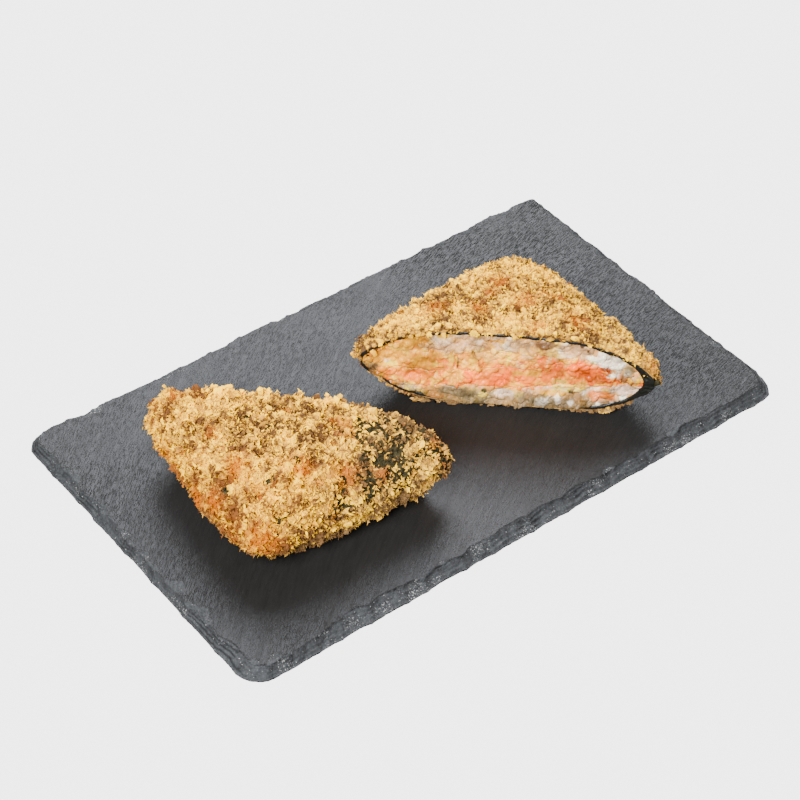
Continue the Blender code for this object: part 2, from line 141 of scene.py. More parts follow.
# Turn is 1 where the folded tip lies at +X and -1 where it lies at -X. Sides and reach are the square's
# half sides and its corners, centre how far its middle lies behind the cut, and spread how much farther the
# wrap and the filling reach at the tips of the cut. Dips and bare spots are given as place along the cut,
# place from it, size and, for dips, depth, in millimetres; spots of colour have a height before their size
Half = collections.namedtuple(
    "Half", "name turn centre sides reach place angle seed mottle spread dips bare spots"
)
HALVES = (
    Half(
        name="right_half", turn=1, centre=0.0046, sides=(0.0432, 0.0432), reach=0.0584,
        place=(0.0301, -0.0213), angle=math.radians(-42.8), seed=11, mottle=0.75, spread=0.0012, dips=(),
        bare=((-2, 7, 1.6), (-6, 3, 1.6), (-14, 22, 1.4), (30, 14, 1.2)),
        spots={
            "orange": (
                (-5, 30, 19, 4), (5, 19, 20, 4.5), (-8, 23, 20, 3), (10, 4, 20, 3), (-12, 13, 20, 3.5),
                (-28, 13, 18, 4), (25, 11, 19, 4), (55, 4, 4, 3), (-38, 2, -12, 4),
            ),
            "dark": ((-15, 23, 19, 2.4), (-9, 9, 20, 2.2), (-11, 2, 20, 1.8)),
            "pale": (
                (-34, 8, 17, 5), (-3, 18, 20, 3.5), (0, 42, 16, 4), (-45, 8, 13, 4), (40, 3, 15, 6),
                (46, 2, 10, 4),
            ),
        },
    ),
    Half(
        name="left_half", turn=-1, centre=0.0007, sides=(0.0464, 0.0430), reach=0.0574,
        place=(-0.0518, -0.0024), angle=math.radians(131.2), seed=12, mottle=1.1, spread=-0.0022,
        dips=((26, 0, 24, 2.6), (54, 3, 9, -4.2)),
        bare=(
            (11, 6, 2.4), (17, 12, 2.0), (6, 17, 3.0), (42, 22, 2.4), (-26, 8, 3.6), (-35, 5, 4.6),
            (-42, 6, 4.0), (-30, 21, 4.8), (-38, 16, 5.6), (-23, 34, 3.4), (-31, 27, 3.6), (-4, 53, 2.6),
            (17, 42, 2.8), (-7, 49, 1.6), (-15, 13, 2.4), (-22, 15, 3.0), (-53, 4, 3.4), (-24, 40, 2.6),
            (-58, 3, 5.0), (8, 30, 2.2), (-6, 30, 2.0), (20, 26, 2.0), (2, 40, 2.0), (30, 12, 1.8),
        ),
        spots={
            "orange": (
                (15, 36, 15, 5), (-8, 34, 17, 4.5), (-23, 30, 13, 5), (1, 57, 2, 7), (21, 45, 4, 5),
                (37, 29, -5, 4.5), (45, 21, -1, 4), (30, 38, -2, 6), (-51, 3, 8, 3), (-54, 5, 3, 3),
                (-35, 23, 9, 3.5), (48, 16, -4, 4),
            ),
            "dark": ((17, 40, 12, 2.6), (-3, 54, 7, 2.2), (-24, 33, 10, 2.2)),
            "pale": (
                (1, 45, 14, 4), (2, 49, 12, 4), (-9, 40, 14, 4), (6, 36, 17, 3.5), (20, 25, 17, 3.5),
                (-17, 24, 17, 4), (-44, 15, 7, 4), (49, 5, 8, 6), (46, 12, 8, 5),
            ),
        },
    ),
)

# The photograph's view
CAMERA_TARGET = Vector((0.003856, 0.009749, 0.0))
CAMERA_AZIMUTH = math.radians(-38.524)
CAMERA_ELEVATION = math.radians(43.274)
CAMERA_ROLL = math.radians(1.278)
CAMERA_DISTANCE = 0.8914
CAMERA_LENS = 103.81  # on a sensor 36 mm wide

# The stage
FLOOR_DROP = 0.0004  # how far the floor lies under the board
KEY_PLACE, KEY_SIZE = (0.66, 0.98, 1.24), 1.0
FILL_PLACE, FILL_SIZE = (-1.02, -0.66, 1.24), 0.7


def paint(red, green, blue):
    """A colour given as it looks on a screen, 0 to 255, as linear light."""
    shares = np.array([red, green, blue]) / 255
    linear = np.where(shares <= 0.04045, shares / 12.92, ((shares + 0.055) / 1.055) ** 2.4)
    return tuple(float(c) for c in linear)


# Curves and points


def ease(low, high, value):
    """0 below low, 1 above high, and 3t^2 - 2t^3 between."""
    t = np.clip((value - low) / (high - low), 0, 1)
    return t * t * (3 - 2 * t)


def bell(distance):
    """1 at no distance, falling as e to the minus squared distance."""
    return np.exp(-(distance**2))


def fading(distance, reach):
    """1 up to no distance, falling as e to the minus distance over reach."""
    return np.exp(-np.maximum(distance, 0) / reach)


def xyz(x, y, z):
    """Points from their coordinates, each an array or one number for all."""
    return np.stack(np.broadcast_arrays(x, y, z), axis=-1)


# Noise: sizes in metres, and a seed that tells one pattern from the others


def cell_random(cells, seed):
    """A number from 0 to 1 for each cell, always the same: its place times large primes, mixed by shifts."""
    x, y, z = (cells[..., k].astype(np.int64).astype(np.uint64) for k in range(3))
    low = np.uint64(0xFFFFFFFF)
    mixed = x * np.uint64(73856093) ^ y * np.uint64(19349663) ^ z * np.uint64(83492791)
    mixed = (mixed ^ np.uint64(seed * 2654435761)) & low
    mixed = ((mixed ^ (mixed >> np.uint64(15))) * np.uint64(2246822519)) & low
    mixed = ((mixed ^ (mixed >> np.uint64(13))) * np.uint64(3266489917)) & low
    return (mixed ^ (mixed >> np.uint64(16))) / 2.0**32


def smooth_noise(points, size, seed):
    """Soft lumps, -1 to 1: the random numbers of the eight cells round a point, blended by 3t^2 - 2t^3."""
    at = points / size
    base = np.floor(at)
    part = ease(0, 1, at - base)
    total = np.zeros(points.shape[:-1])
    for corner in np.ndindex(2, 2, 2):
        corner = np.array(corner)
        weight = np.prod(np.where(corner, part, 1 - part), axis=-1)
        total += weight * cell_random(base + corner, seed)
    return 2 * total - 1


def rough_noise(points, size, seed, layers=3):
    """Lumps with smaller lumps on them: each layer half as large and half as strong as the one before."""
    strengths = [0.5**layer for layer in range(layers)]
    total = sum(s * smooth_noise(points, size * s, seed + layer) for layer, s in enumerate(strengths))
    return total / sum(strengths)


def wobble(points, size, seeds, noise=smooth_noise):
    """A shift for each point: each of its coordinates a noise with its own seed."""
    return np.stack([noise(points, size, seed) for seed in seeds], axis=-1)


def crumb_cells(points, size, seed):
    """Distances, in cells, to the nearest and the second nearest of the points strewn one to a cell.

    Returned with a random number, 0 to 1, that belongs to the nearest.
    """
    at = points / size
    base = np.floor(at)
    nearest = np.full(points.shape[:-1], 9.0)
    second = nearest.copy()
    number = np.zeros_like(nearest)
    for step in np.ndindex(3, 3, 3):
        cell = base + np.array(step) - 1
        place = np.stack([cell_random(cell, seed + k) for k in range(3)], axis=-1)
        distance = np.linalg.norm(cell + place - at, axis=-1)
        number = np.where(distance < nearest, cell_random(cell, seed + 9), number)
        second = np.minimum(second, np.maximum(nearest, distance))
        nearest = np.minimum(nearest, distance)
    return nearest, second, number


# Meshes


def mesh_object(name, points, faces, material, attributes=None, colours=None, smooth=True, merge=0.0):
    """One object from points (n, 3) and a list of face arrays, each with faces of one number of corners."""
    mesh = bpy.data.meshes.new(name)
    mesh.vertices.add(len(points))
    mesh.vertices.foreach_set("co", np.ascontiguousarray(points, dtype=np.float32).ravel())
    sizes = np.concatenate([np.full(len(group), group.shape[1]) for group in faces])
    corners = np.concatenate([group.ravel() for group in faces]).astype(np.int32)
    mesh.loops.add(len(corners))
    mesh.loops.foreach_set("vertex_index", corners)
    mesh.polygons.add(len(sizes))
    mesh.polygons.foreach_set("loop_start", (np.cumsum(sizes) - sizes).astype(np.int32))
    mesh.polygons.foreach_set("use_smooth", np.full(len(sizes), smooth))
    for label, values in (attributes or {}).items():
        kind, field = ("FLOAT", "value") if values.size == len(points) else ("FLOAT_VECTOR", "vector")
        mesh.attributes.new(label, kind, "POINT").data.foreach_set(field, values.astype(np.float32).ravel())
    if colours is not None:
        layer = mesh.color_attributes.new("tint", "FLOAT_COLOR", "POINT")
        whole = np.concatenate([colours, np.ones((len(colours), 1))], axis=1)
        layer.data.foreach_set("color", whole.astype(np.float32).ravel())
    mesh.update(calc_edges=True)
    mesh.validate()
    if merge:
        shape = bmesh.new()
        shape.from_mesh(mesh)
        bmesh.ops.remove_doubles(shape, verts=shape.verts, dist=merge)
        shape.to_mesh(mesh)
        shape.free()
    mesh.materials.append(material)
    obj = bpy.data.objects.new(name, mesh)
    bpy.context.scene.collection.objects.link(obj)
    return obj


def ring_faces(columns, rows):
    """The faces of a grid whose rows close on themselves, with its two ends capped."""
    index = np.arange(columns * rows).reshape(columns, rows)
    after = np.roll(index, -1, axis=1)
    sides = np.stack([index[:-1], index[1:], after[1:], after[:-1]], axis=-1).reshape(-1, 4)
    return [sides, index[:1, :], index[-1:, ::-1]]


def outer_faces(columns, rows):
    """The faces of a grid whose columns close round the board."""
    index = np.arange(columns * rows).reshape(columns, rows)
    after = np.roll(index, -1, axis=0)
    return [np.stack([index[:, :-1], after[:, :-1], after[:, 1:], index[:, 1:]], axis=-1).reshape(-1, 4)]


def grid_normals(points):
    """Unit normals of a grid, from the cross product of its two directions."""
    across = np.cross(np.gradient(points, axis=0), np.gradient(points, axis=1))
    return across / np.maximum(np.linalg.norm(across, axis=-1, keepdims=True), 1e-12)


def respace(paths, count):
    """Each path's points read off again at equal shares of its length."""
    steps = np.linalg.norm(np.diff(paths, axis=1), axis=2)
    along = np.concatenate([np.zeros((len(paths), 1)), np.cumsum(steps, axis=1)], axis=1)
    along /= np.maximum(along[:, -1:], 1e-9)
    start = 2.0 * np.arange(len(paths))[:, None]
    wanted = (np.linspace(0, 1, count)[None] + start).ravel()
    known = (along + start).ravel()
    values = [np.interp(wanted, known, paths[..., k].ravel()) for k in range(3)]
    return np.stack(values, axis=-1).reshape(len(paths), count, 3)


def between(start, end, count):
    """Evenly spaced points between two rows of points, without the rows themselves."""
    share = np.linspace(0, 1, count + 2)[1:-1, None]
    return start[:, None] + (end - start)[:, None] * share


# The pillow's form


def settle(x, half):
    """How far one tip of the cut lies low and the other high: the cube of the place along the cut."""
    return -TIP_RISE * (half.turn * x / CUT_REACH) ** 3


def plan_limits(x, half, inset):
    """Nearest and farthest place from the cut, at places along it, of the square turned by 45 degrees."""
    side_a, side_b, reach = half.sides[0] - inset, half.sides[1] - inset, half.reach - inset
    corner = np.sqrt(np.maximum(reach**2 - x**2, 0))
    far = half.centre + np.minimum(np.minimum(ROOT_TWO * side_a - x, ROOT_TWO * side_b + x), corner)
    near = half.centre - np.minimum(np.minimum(ROOT_TWO * side_a + x, ROOT_TWO * side_b - x), corner)
    near = np.minimum(np.maximum(near, 0), half.centre)
    return near, np.maximum(far, near)


def cut_end(half, inset):
    """How far along the cut the pillow reaches at the cut itself: to its side, or to its rounded corner."""
    reach = half.reach - inset
    return min(ROOT_TWO * (min(half.sides) - inset) - half.centre, math.sqrt(reach**2 - half.centre**2))


def along_cut(half, open_end, folded_end, count):
    """Places along the cut between its open tip and its folded one, in the order of the half's own X."""
    return np.linspace(*sorted((-half.turn * open_end, half.turn * folded_end)), count)


def dome(x, y, half, inset):
    """Height over the mid-plane: the product of one minus each plan distance over its limit, to a power."""
    across = (x + y - half.centre) / ROOT_TWO
    along = (y - half.centre - x) / ROOT_TWO
    room = 1 - np.minimum(abs(across) / (half.sides[0] - inset), 1) ** SIDE_POWER
    room = room * (1 - np.minimum(abs(along) / (half.sides[1] - inset), 1) ** SIDE_POWER)
    room = room * (1 - np.minimum(np.hypot(across, along) / (half.reach - inset), 1) ** CORNER_POWER)
    return (HALF_HEIGHT - inset) * np.maximum(room, 0) ** DOME_POWER


def underside(x, half, inset):
    """The height that the pressed underside lies at: one level outside, and following the wrap inside."""
    if inset == 0:
        return np.full_like(x, UNDERSIDE)
    return settle(x, half) + UNDERSIDE + BASE_CRUST + inset - CRUST


def wrap_surface(x, half, inset, rows):
    """The pillow's skin at places along the cut: from it over the top, round the rim and back underneath."""
    x = x[:, None]
    near, far = plan_limits(x, half, inset)
    y = near + (far - near) * (1 - np.cos(np.pi * np.linspace(0, 1, FINE))) / 2
    height = dome(x, y, half, inset)
    middle = settle(x, half)
    over = xyz(x, y, middle + height)
    under = xyz(x, y, np.maximum(middle - height, underside(x, half, inset)))[:, ::-1]
    return respace(np.concatenate([over, under[:, 1:]], axis=1), rows)


def fold_room(x, half):
    """How far the fold at the tip lets filling rise: fully, then bluntly to nothing, by a fourth power."""
    share = np.clip((half.turn * x - FOLD_START + FOLD_LENGTH) / FOLD_LENGTH, 0, 1)
    return np.sqrt(1 - share**4)


def set_down(points, half):
    """From the half's own frame to the board, as rows of points.

    It is pressed in at its dips, turned about the upright and set in place.
    """
    x, y, z = points.reshape(-1, 3).T
    height = np.clip((z + HALF_HEIGHT) / (2 * HALF_HEIGHT), 0, 1)
    for dip_x, dip_y, size, depth in half.dips:
        z = z - depth * MM * height * bell(np.hypot(x / MM - dip_x, y / MM - dip_y) / size)
    cosine, sine = math.cos(half.angle), math.sin(half.angle)
    across, along = cosine * x - sine * y, sine * x + cosine * y
    return xyz(across + half.place[0], along + half.place[1], z + FOOD_MIDDLE)


def flare(points, half, amount):
    """Spreads points near the cut away from its middle, as pressed food bulges: by less further in."""
    near = fading(points[..., 1], FLARE_DEPTH)
    middle = settle(points[..., 0], half)
    points[..., 2] = middle + (points[..., 2] - middle) * (1 + amount[1] * near)
    points[..., 0] = points[..., 0] * (1 + amount[0] * near) + half.spread * near * at_tip(points)
    return points


def at_tip(points):
    """How near points are to a tip of the cut: -1 at one, 1 at the other, 0 between, eased over 10 mm."""
    return np.sign(points[..., 0]) * ease(0.043, 0.053, abs(points[..., 0]))


def shell(x, half, insets, rows, filled):
    """The outer and the inner face of a coat between two insets, at places along the cut.

    The inner one runs back from its lower cut edge to its upper. Where filled, it shrinks to the middle of
    the cut, so that the cut edges meet there.
    """
    outside = wrap_surface(x, half, insets[0], rows[0])
    inside = wrap_surface(x, half, insets[1], rows[1])[:, ::-1]
    if insets[0]:
        outside = flare(outside, half, WRAP_FLARE)
    inside = flare(inside, half, WRAP_FLARE)
    middle = (outside[:, 0] + outside[:, -1]) / 2
    return outside, np.where(filled[:, None, None], middle[:, None], inside)


def rims(outside, inside, rows):
    """The rows of points that join a coat's two faces at the cut, along its lower edge and its upper."""
    return between(outside[:, -1], inside[:, 0], rows), between(inside[:, -1], outside[:, 0], rows)


# Crust

# Size and lift of the coat's lumps, from the broadest
COAT_SWELL = (0.012, 0.0007)
COAT_CRAG = (0.0046, 0.0046)
COAT_CRUMB = (0.0019, 0.0015)
COAT_GRIT = (0.0009, 0.0003)
COAT_RIM_ROWS = 5
COAT_INNER_ROWS = 44
# The dark spots are sunk hollows in the crumb, painted darker as the shade in them
DARK_DENT = 0.0024  # how deep the dark spots are sunk


def spotted(points, half, kind):
    """How near points are to the half's spots of one kind, 0 to 1: the bell of distance over size."""
    total = np.zeros(points.shape[:-1])
    for *place, size in half.spots[kind]:
        total = np.maximum(total, bell(np.linalg.norm(points / MM - place, axis=-1) / size))
    return total


def thinning(points, half):
    """Where the left half's crumb thins out, from 0 to 1: towards its right tip in the photo."""
    return ease(0.010, 0.040, half.turn * points[..., 0]) * (half.turn < 0)


def warm_end(points, half):
    """Where the left half is fried an even golden orange, from 0 to 1: towards its left tip in the photo."""
    return ease(-0.030, 0.034, -half.turn * points[..., 0]) * (half.turn < 0)


def bareness(points, half):
    """How little crumb there is, from 0 to 1: strongest round the places where the wrap shows through."""
    total = 0.3 * thinning(points, half)
    for x, y, size in half.bare:
        total = total + 1.1 * bell(np.hypot(points[..., 0] / MM - x, points[..., 1] / MM - y) / size)
    total = total * ease(-0.009, 0.001, points[..., 2])
    ragged = rough_noise(points + half.seed, 0.0042, 71, layers=4)
    return np.clip(total * (0.85 + 1.2 * ragged) - 0.06, 0, 1)


def folded_tip(points, half):
    """Where the right half's fold shows at the tip of the cut, 0 to 1: below the middle of the coat's rim."""
    tip = ease(0.044, 0.049, half.turn * points[..., 0]) * ease(0.0030, 0.0010, points[..., 1])
    return tip * ease(0.0025, 0.0005, points[..., 2]) * (half.turn > 0)


def crumb_tone(points, half):
    """How dark the crumb is fried, from pale 0 to brown 1.

    A base, paler where the crumb thins out, with zones, patches and specks of three sizes, the half's pale
    spots, and its dark spots, which are hollows painted darker as the shade in them.
    """
    shift = points + half.seed
    zones = smooth_noise(shift, 0.016, 25)
    patches = rough_noise(shift, 0.0058, 21)
    specks = rough_noise(shift, 0.0022, 27)
    base = 0.37 - 0.05 * half.turn - 0.06 * warm_end(points, half) - 0.24 * thinning(points, half)
    tone = base + half.mottle * (patches + 0.30 * zones) + 0.60 * specks
    # painted shade: the dark spots, which are sunk hollows, are made darker
    return tone + 0.6 * spotted(points, half, "dark") - 0.36 * spotted(points, half, "pale")


def damp_and_low_shade(points, half):
    """Where the crumb is damp and greyer, from 0 to 1.

    Most at the foot of the cut, where it is damp, and low on the flanks, where it is painted shade; less
    where the crumb is thin or near the folded tip.
    """
    foot = ease(-0.004, -0.011, points[..., 2]) * ease(0.007, 0.0, points[..., 1])
    # painted shade: the lower flanks take the greyer, darker damp colour
    low = 0.7 * ease(-0.001, -0.012, points[..., 2])
    thin = 0.5 * thinning(points, half)
    tip = 0.35 * ease(0.026, 0.040, half.turn * points[..., 0])
    everywhere = 0.04 + 0.04 * half.turn
    return np.maximum.reduce([foot, low, thin, tip, np.full_like(foot, everywhere)])


def crumb_glow(points, half):
    """Where the crumb is fried orange, 0 to 1: patches of 3 to 6 mm, the warm end's flank and the spots."""
    scattered = 0.6 * ease(0.30, 0.60, rough_noise(points + half.seed, 0.0062, 31))
    warm = 0.44 * warm_end(points, half) * (0.6 + 0.7 * smooth_noise(points, 0.011, 33))
    warm = warm * ease(0.021, 0.010, points[..., 2])
    strength = 0.75 if half.turn > 0 else 1
    return np.maximum(scattered + warm, strength * spotted(points, half, "orange"))


def crust_rings(half, food):
    """The coat's rings with their relief, the grid that crumbs are strewn over, and how bare the rings are.

    The outside is pushed along its normals by broad swells, by rounded crumbs of two sizes and by fine
    grit, and is drawn in where it is bare. The rim at the cut is only roughened.
    """
    widest = min(half.reach, sum(half.sides) / ROOT_TWO)
    x = widest * np.sin(np.linspace(-np.pi / 2, np.pi / 2, food.crust_columns))
    filled = abs(x) > cut_end(half, CRUST) - 0.0002
    outside, inside = shell(x, half, (0, CRUST), (food.crust_rows, COAT_INNER_ROWS), filled)
    normals = grid_normals(outside)
    normals[..., 1] *= ease(0, 0.0022, outside[..., 1])
    bare = bareness(outside, half)
    shift = outside + half.seed
    crags = crumb_cells(shift, COAT_CRAG[0], 3)[0]
    crumbs = crumb_cells(shift, COAT_CRUMB[0], 7)[0]
    lift = COAT_SWELL[1] * smooth_noise(shift, COAT_SWELL[0], 5)
    lift = lift + COAT_GRIT[1] * smooth_noise(shift, COAT_GRIT[0], 9)
    lift += COAT_CRAG[1] * half.mottle * (0.5 - crags) + COAT_CRUMB[1] * (0.5 - crumbs)
    lift = lift * (1 - 0.7 * bare) - 0.0007 * bare - CRUST_SUNK * ease(-0.0175, -0.014, outside[..., 2])
    lift -= DARK_DENT * spotted(outside, half, "dark")
    outside = outside + normals * lift[..., None]
    outside[..., 0] += half.turn * TIP_TRIM * ease(0.030, 0.056, -half.turn * outside[..., 0])
    outside[..., 1] += 0.0026 * np.exp(-outside[..., 1] / 0.002) * ease(-0.006, -0.013, outside[..., 2])
    outside[..., 2] = np.maximum(outside[..., 2], UNDERSIDE)
    lower, upper = rims(outside, inside, COAT_RIM_ROWS)
    for band in (lower, upper):
        band[..., 1] += 0.0004 * rough_noise(band + half.seed, 0.0018, 15)
    rings = np.concatenate([outside, lower, inside, upper], axis=1)
    ground = np.concatenate([upper[:, 1:], outside, lower[:, :-1]], axis=1)
    covered = np.zeros((len(rings), rings.shape[1] - bare.shape[1]))
    bare = np.maximum(np.concatenate([bare, covered], axis=1), folded_tip(rings, half))
    return rings, ground, bare


def unit_ball(level):
    """Corners and faces of a ball made of triangles, of radius 1."""
    shape = bmesh.new()
    bmesh.ops.create_icosphere(shape, subdivisions=level, radius=1.0)
    corners = np.array([v.co for v in shape.verts])
    faces = np.array([[v.index for v in f.verts] for f in shape.faces])
    shape.free()
    return corners, faces


def unit_splinter():
    """Corners and faces of a bent spindle: two tips and two three-cornered waists."""
    turn = np.radians([0, 120, 240])
    waist = xyz(0, np.cos(turn), np.sin(turn))
    ends = [[-1, 0, -0.5]], [[1, 0, -0.5]]
    corners = np.concatenate([ends[0], waist + (-0.35, 0, 0.25), waist + (0.35, 0, 0.25), ends[1]])
    first, last = [], []
    for i in range(3):
        j = (i + 1) % 3
        first += [[0, 1 + j, 1 + i], [7, 4 + i, 4 + j]]
        last += [[1 + i, 1 + j, 4 + j], [1 + i, 4 + j, 4 + i]]
    return corners, np.array(first + last)


def unit_flake():
    """Corners and faces of a curled flake: a ragged rim, z = 0.45x^2 - 0.2, and a low peak on each side."""
    turn = np.linspace(0, 2 * np.pi, 10, endpoint=False)
    reach = np.tile([1.0, 0.6], 5)
    x, y = reach * np.cos(turn), reach * np.sin(turn)
    corners = np.concatenate([xyz(x, y, 0.45 * x * x - 0.2), [[0, 0, 0.02], [0, 0, -0.32]]])
    i = np.arange(10)
    j = (i + 1) % 10
    return corners, np.concatenate([xyz(i, j, 10), xyz(j, i, 11)])


def strew(grid, weight, count, draw):
    """Places over a grid, each cell chosen in proportion to its area times its weight, with their normals."""
    a, b, c, d = grid[:-1, :-1], grid[1:, :-1], grid[1:, 1:], grid[:-1, 1:]
    normal = np.cross(c - a, d - b).reshape(-1, 3)
    area = np.linalg.norm(normal, axis=1)
    share = area * weight[:-1, :-1].ravel()
    chosen = draw.choice(len(share), count, p=share / share.sum())
    u, v = draw.random((2, count, 1))
    a, b, c, d = (corner.reshape(-1, 3)[chosen] for corner in (a, b, c, d))
    place = a * (1 - u) * (1 - v) + b * u * (1 - v) + c * u * v + d * (1 - u) * v
    return place, normal[chosen] / area[chosen, None]


def turned_axes(normal, lean, draw):
    """Three upright axes for each place: the first lies along the surface, leaning off it by up to lean."""
    count = len(normal)
    loose = draw.normal(size=(count, 3))
    flat = loose - np.sum(loose * normal, axis=1, keepdims=True) * normal
    flat /= np.linalg.norm(flat, axis=1, keepdims=True)
    angle = draw.uniform(-0.15, 1.0, (count, 1)) * lean
    along = flat * np.cos(angle) + normal * np.sin(angle)
    upward = normal * np.cos(angle) - flat * np.sin(angle)
    side = np.cross(upward, along)
    spin = draw.uniform(-0.8, 0.8, (count, 1))
    tilted = upward * np.cos(spin) + side * np.sin(spin)
    return np.stack([along, np.cross(tilted, along), tilted], axis=-1)


def cloud(shape, places, axes, sizes, jag, draw):
    """Many copies of a shape: corners pushed in or out at random, stretched, turned and set in place."""
    corners, faces = shape
    push = draw.uniform(1 - jag, 1 + jag, (len(places), len(corners), 1))
    local = corners * push * sizes[:, None, :]
    points = np.einsum("nij,nvj->nvi", axes, local) + places[:, None]
    every = faces[None] + (np.arange(len(places)) * len(corners))[:, None, None]
    return points, every.reshape(-1, faces.shape[1])


# Where crumbs hang in clumps at the foot of the cut, and over its upper edge: place along it and reach, in
# millimetres
CLUMPS = (
    (-45, 3.0), (-39, 3.2), (-31, 2.0), (-24, 2.4), (-17, 1.6), (-11, 2.4), (-5, 1.6), (1, 2.4), (9, 2.6),
    (16, 1.6), (21, 2.0), (26, 2.4), (32, 1.6), (37.5, 3.4), (45, 1.8),
)
EAVES = (
    (-50, 2.0), (-35, 2.6), (-29, 3.0), (-23, 1.6), (-13, 1.4), (3, 1.6), (15, 2.2), (26, 1.4), (35, 1.6),
)
CrumbKind = collections.namedtuple("CrumbKind", "shape amount length slim height lean jag")
CRUMB_KINDS = {
    "crumbs": (
        CrumbKind("lump", 220, (0.0022, 0.0044), (0.5, 0.85), (0.0000, 0.0010), 0.6, 0.42),
        CrumbKind("clump", 430, (0.0014, 0.0038), (0.5, 0.85), (0.0002, 0.0024), 1.0, 0.45),
        CrumbKind("crumb", 2900, (0.0010, 0.0026), (0.4, 0.8), (0.0000, 0.0012), 1.0, 0.50),
        CrumbKind("flake", 5000, (0.0018, 0.0044), (0.45, 0.8), (0.0001, 0.0017), 1.1, 0.36),
    ),
    "splinters": (
        CrumbKind("splinter", 7800, (0.0012, 0.0029), (0.20, 0.42), (0.0001, 0.0015), 1.0, 0.45),
        CrumbKind("splinter", 6200, (0.0010, 0.0020), (0.30, 0.60), (0.0001, 0.0014), 1.4, 0.45),
    ),
}
CRUMB_ROOT = 0.0002  # how deep a crumb sits in the coat
# A crumb is painted darker at its foot than at its end, as painted shade in the gaps between crumbs
CRUMB_HEIGHT = 0.0024  # over which a crumb grows paler
FOOT_SHADE_SLOPE = 390  # change of tone per metre over the foot
FRONT_REACH = {"splinter": 0.0008, "other": 0.0022}  # how far crumbs may stand out of the cut


def crumb_cover(shape, ground, half, bare):
    """How thickly crumbs of one shape lie: less where the coat is bare, dark or low, and at the folded rim.

    Lumps keep off the rim, and clumps hang only at their places along the foot and the upper edge of the cut.
    """
    x, y, z = np.moveaxis(ground, -1, 0)
    if shape == "clump":
        s = half.turn * x / MM
        foot, eaves = (sum(bell((s - place) / reach) for place, reach in row) for row in (CLUMPS, EAVES))
        foot = foot * ease(0.004, 0.001, y) * ease(-0.005, -0.010, z)
        return foot + 0.8 * eaves * ease(0.0015, 0.0003, y) * ease(0.002, 0.006, z)
    rim = abs(at_tip(ground)) * fading(y, 0.001) * (half.turn > 0)
    cover = (1 - 0.8 * spotted(ground, half, "dark")) * (1 - 0.97 * rim)
    cover = cover * (0.25 + 0.75 * ease(-0.0185, -0.0155, z))
    cover = cover * (1 - (0.65 if shape == "splinter" else 0.80) * bare)
    if shape == "lump":
        cover = cover * (1 - bare) * ease(0.0006, 0.002, y)
    return cover


def strewn_crumbs(half, kinds, ground, seed):
    """Crumbs of several kinds over the crust and its rim, with each one's tone, glow and dampness.

    A crumb is smaller at the tips of the cut, painted darker low on the flanks as painted shade, and painted
    darker at its foot than towards its end as painted shade in the gaps between crumbs.
    """
    draw = np.random.default_rng(seed)
    shapes = {
        "lump": unit_ball(2), "clump": unit_ball(1), "crumb": unit_ball(1), "flake": unit_flake(),
        "splinter": unit_splinter(),
    }
    bare = np.maximum(bareness(ground, half), folded_tip(ground, half))
    points, faces, start = [], [], 0
    marks = {"tone": [], "glow": [], "moist": []}
    for kind in kinds:
        place, normal = strew(ground, crumb_cover(kind.shape, ground, half, bare), kind.amount, draw)
        length = kind.length[0] + (kind.length[1] - kind.length[0]) * draw.random(kind.amount) ** 2
        slim = draw.uniform(*kind.slim, (2, kind.amount))
        slight = 1 - 0.25 * abs(at_tip(place)) * fading(place[:, 1], 0.005)
        sizes = xyz(length, length * slim[0], length * slim[1]) / 2 * slight[:, None]
        height = draw.uniform(*kind.height, kind.amount) * slight
        place = place + normal * (height - CRUMB_ROOT)[:, None]
        foot = place - normal * height[:, None]
        axes = turned_axes(normal, kind.lean, draw)
        made, joined = cloud(shapes[kind.shape], place, axes, sizes, kind.jag, draw)
        above = np.einsum("nvi,ni->nv", made - foot[:, None], normal)
        made[..., 1] = np.maximum(made[..., 1], -FRONT_REACH.get(kind.shape, FRONT_REACH["other"]))
        made[..., 2] = np.maximum(made[..., 2], UNDERSIDE)
        moist = damp_and_low_shade(place, half) * draw.uniform(0.4, 1.0, kind.amount)
        # painted shade: crumbs low on the flanks are made darker
        low = 0.80 * ease(0.004, -0.008, place[:, 2]) * (1 - 0.4 * moist)
        tone = crumb_tone(place, half) + draw.normal(0, 0.23, kind.amount) + low
        glow = np.clip(crumb_glow(place, half) * draw.uniform(0.65, 1.1, kind.amount), 0, 0.95)
        # painted shade in the gaps: each crumb darkest at its foot, paler over CRUMB_HEIGHT towards its end
        tone = tone[:, None] + 0.72 - FOOT_SHADE_SLOPE * np.clip(above, 0, CRUMB_HEIGHT)
        for name, values in (("tone", tone), ("glow", glow[:, None]), ("moist", moist[:, None])):
            marks[name].append(np.broadcast_to(values, made.shape[:2]).ravel())
        points.append(made.reshape(-1, 3))
        faces.append(joined + start)
        start += len(points[-1])
    marks = {name: np.concatenate(values) for name, values in marks.items()}
    return np.concatenate(points), np.concatenate(faces), marks


# Filling

# The layers from the bottom: each one's slot, and the number, lengths and slimness of the bits in its cut
Layer = collections.namedtuple("Layer", "slot bits length slim")
LAYERS = {
    "rice_base": Layer("rice", 130, (0.0020, 0.0046), (0.45, 0.7)),
    "salmon": Layer("salmon", 80, (0.0016, 0.0048), (0.35, 0.7)),
    "cream": Layer("cream", 120, (0.0012, 0.0034), (0.5, 0.9)),
    "rice_top": Layer("rice", 110, (0.0020, 0.0046), (0.45, 0.7)),
}
HAIR = 0.00005  # half the gap between two layers
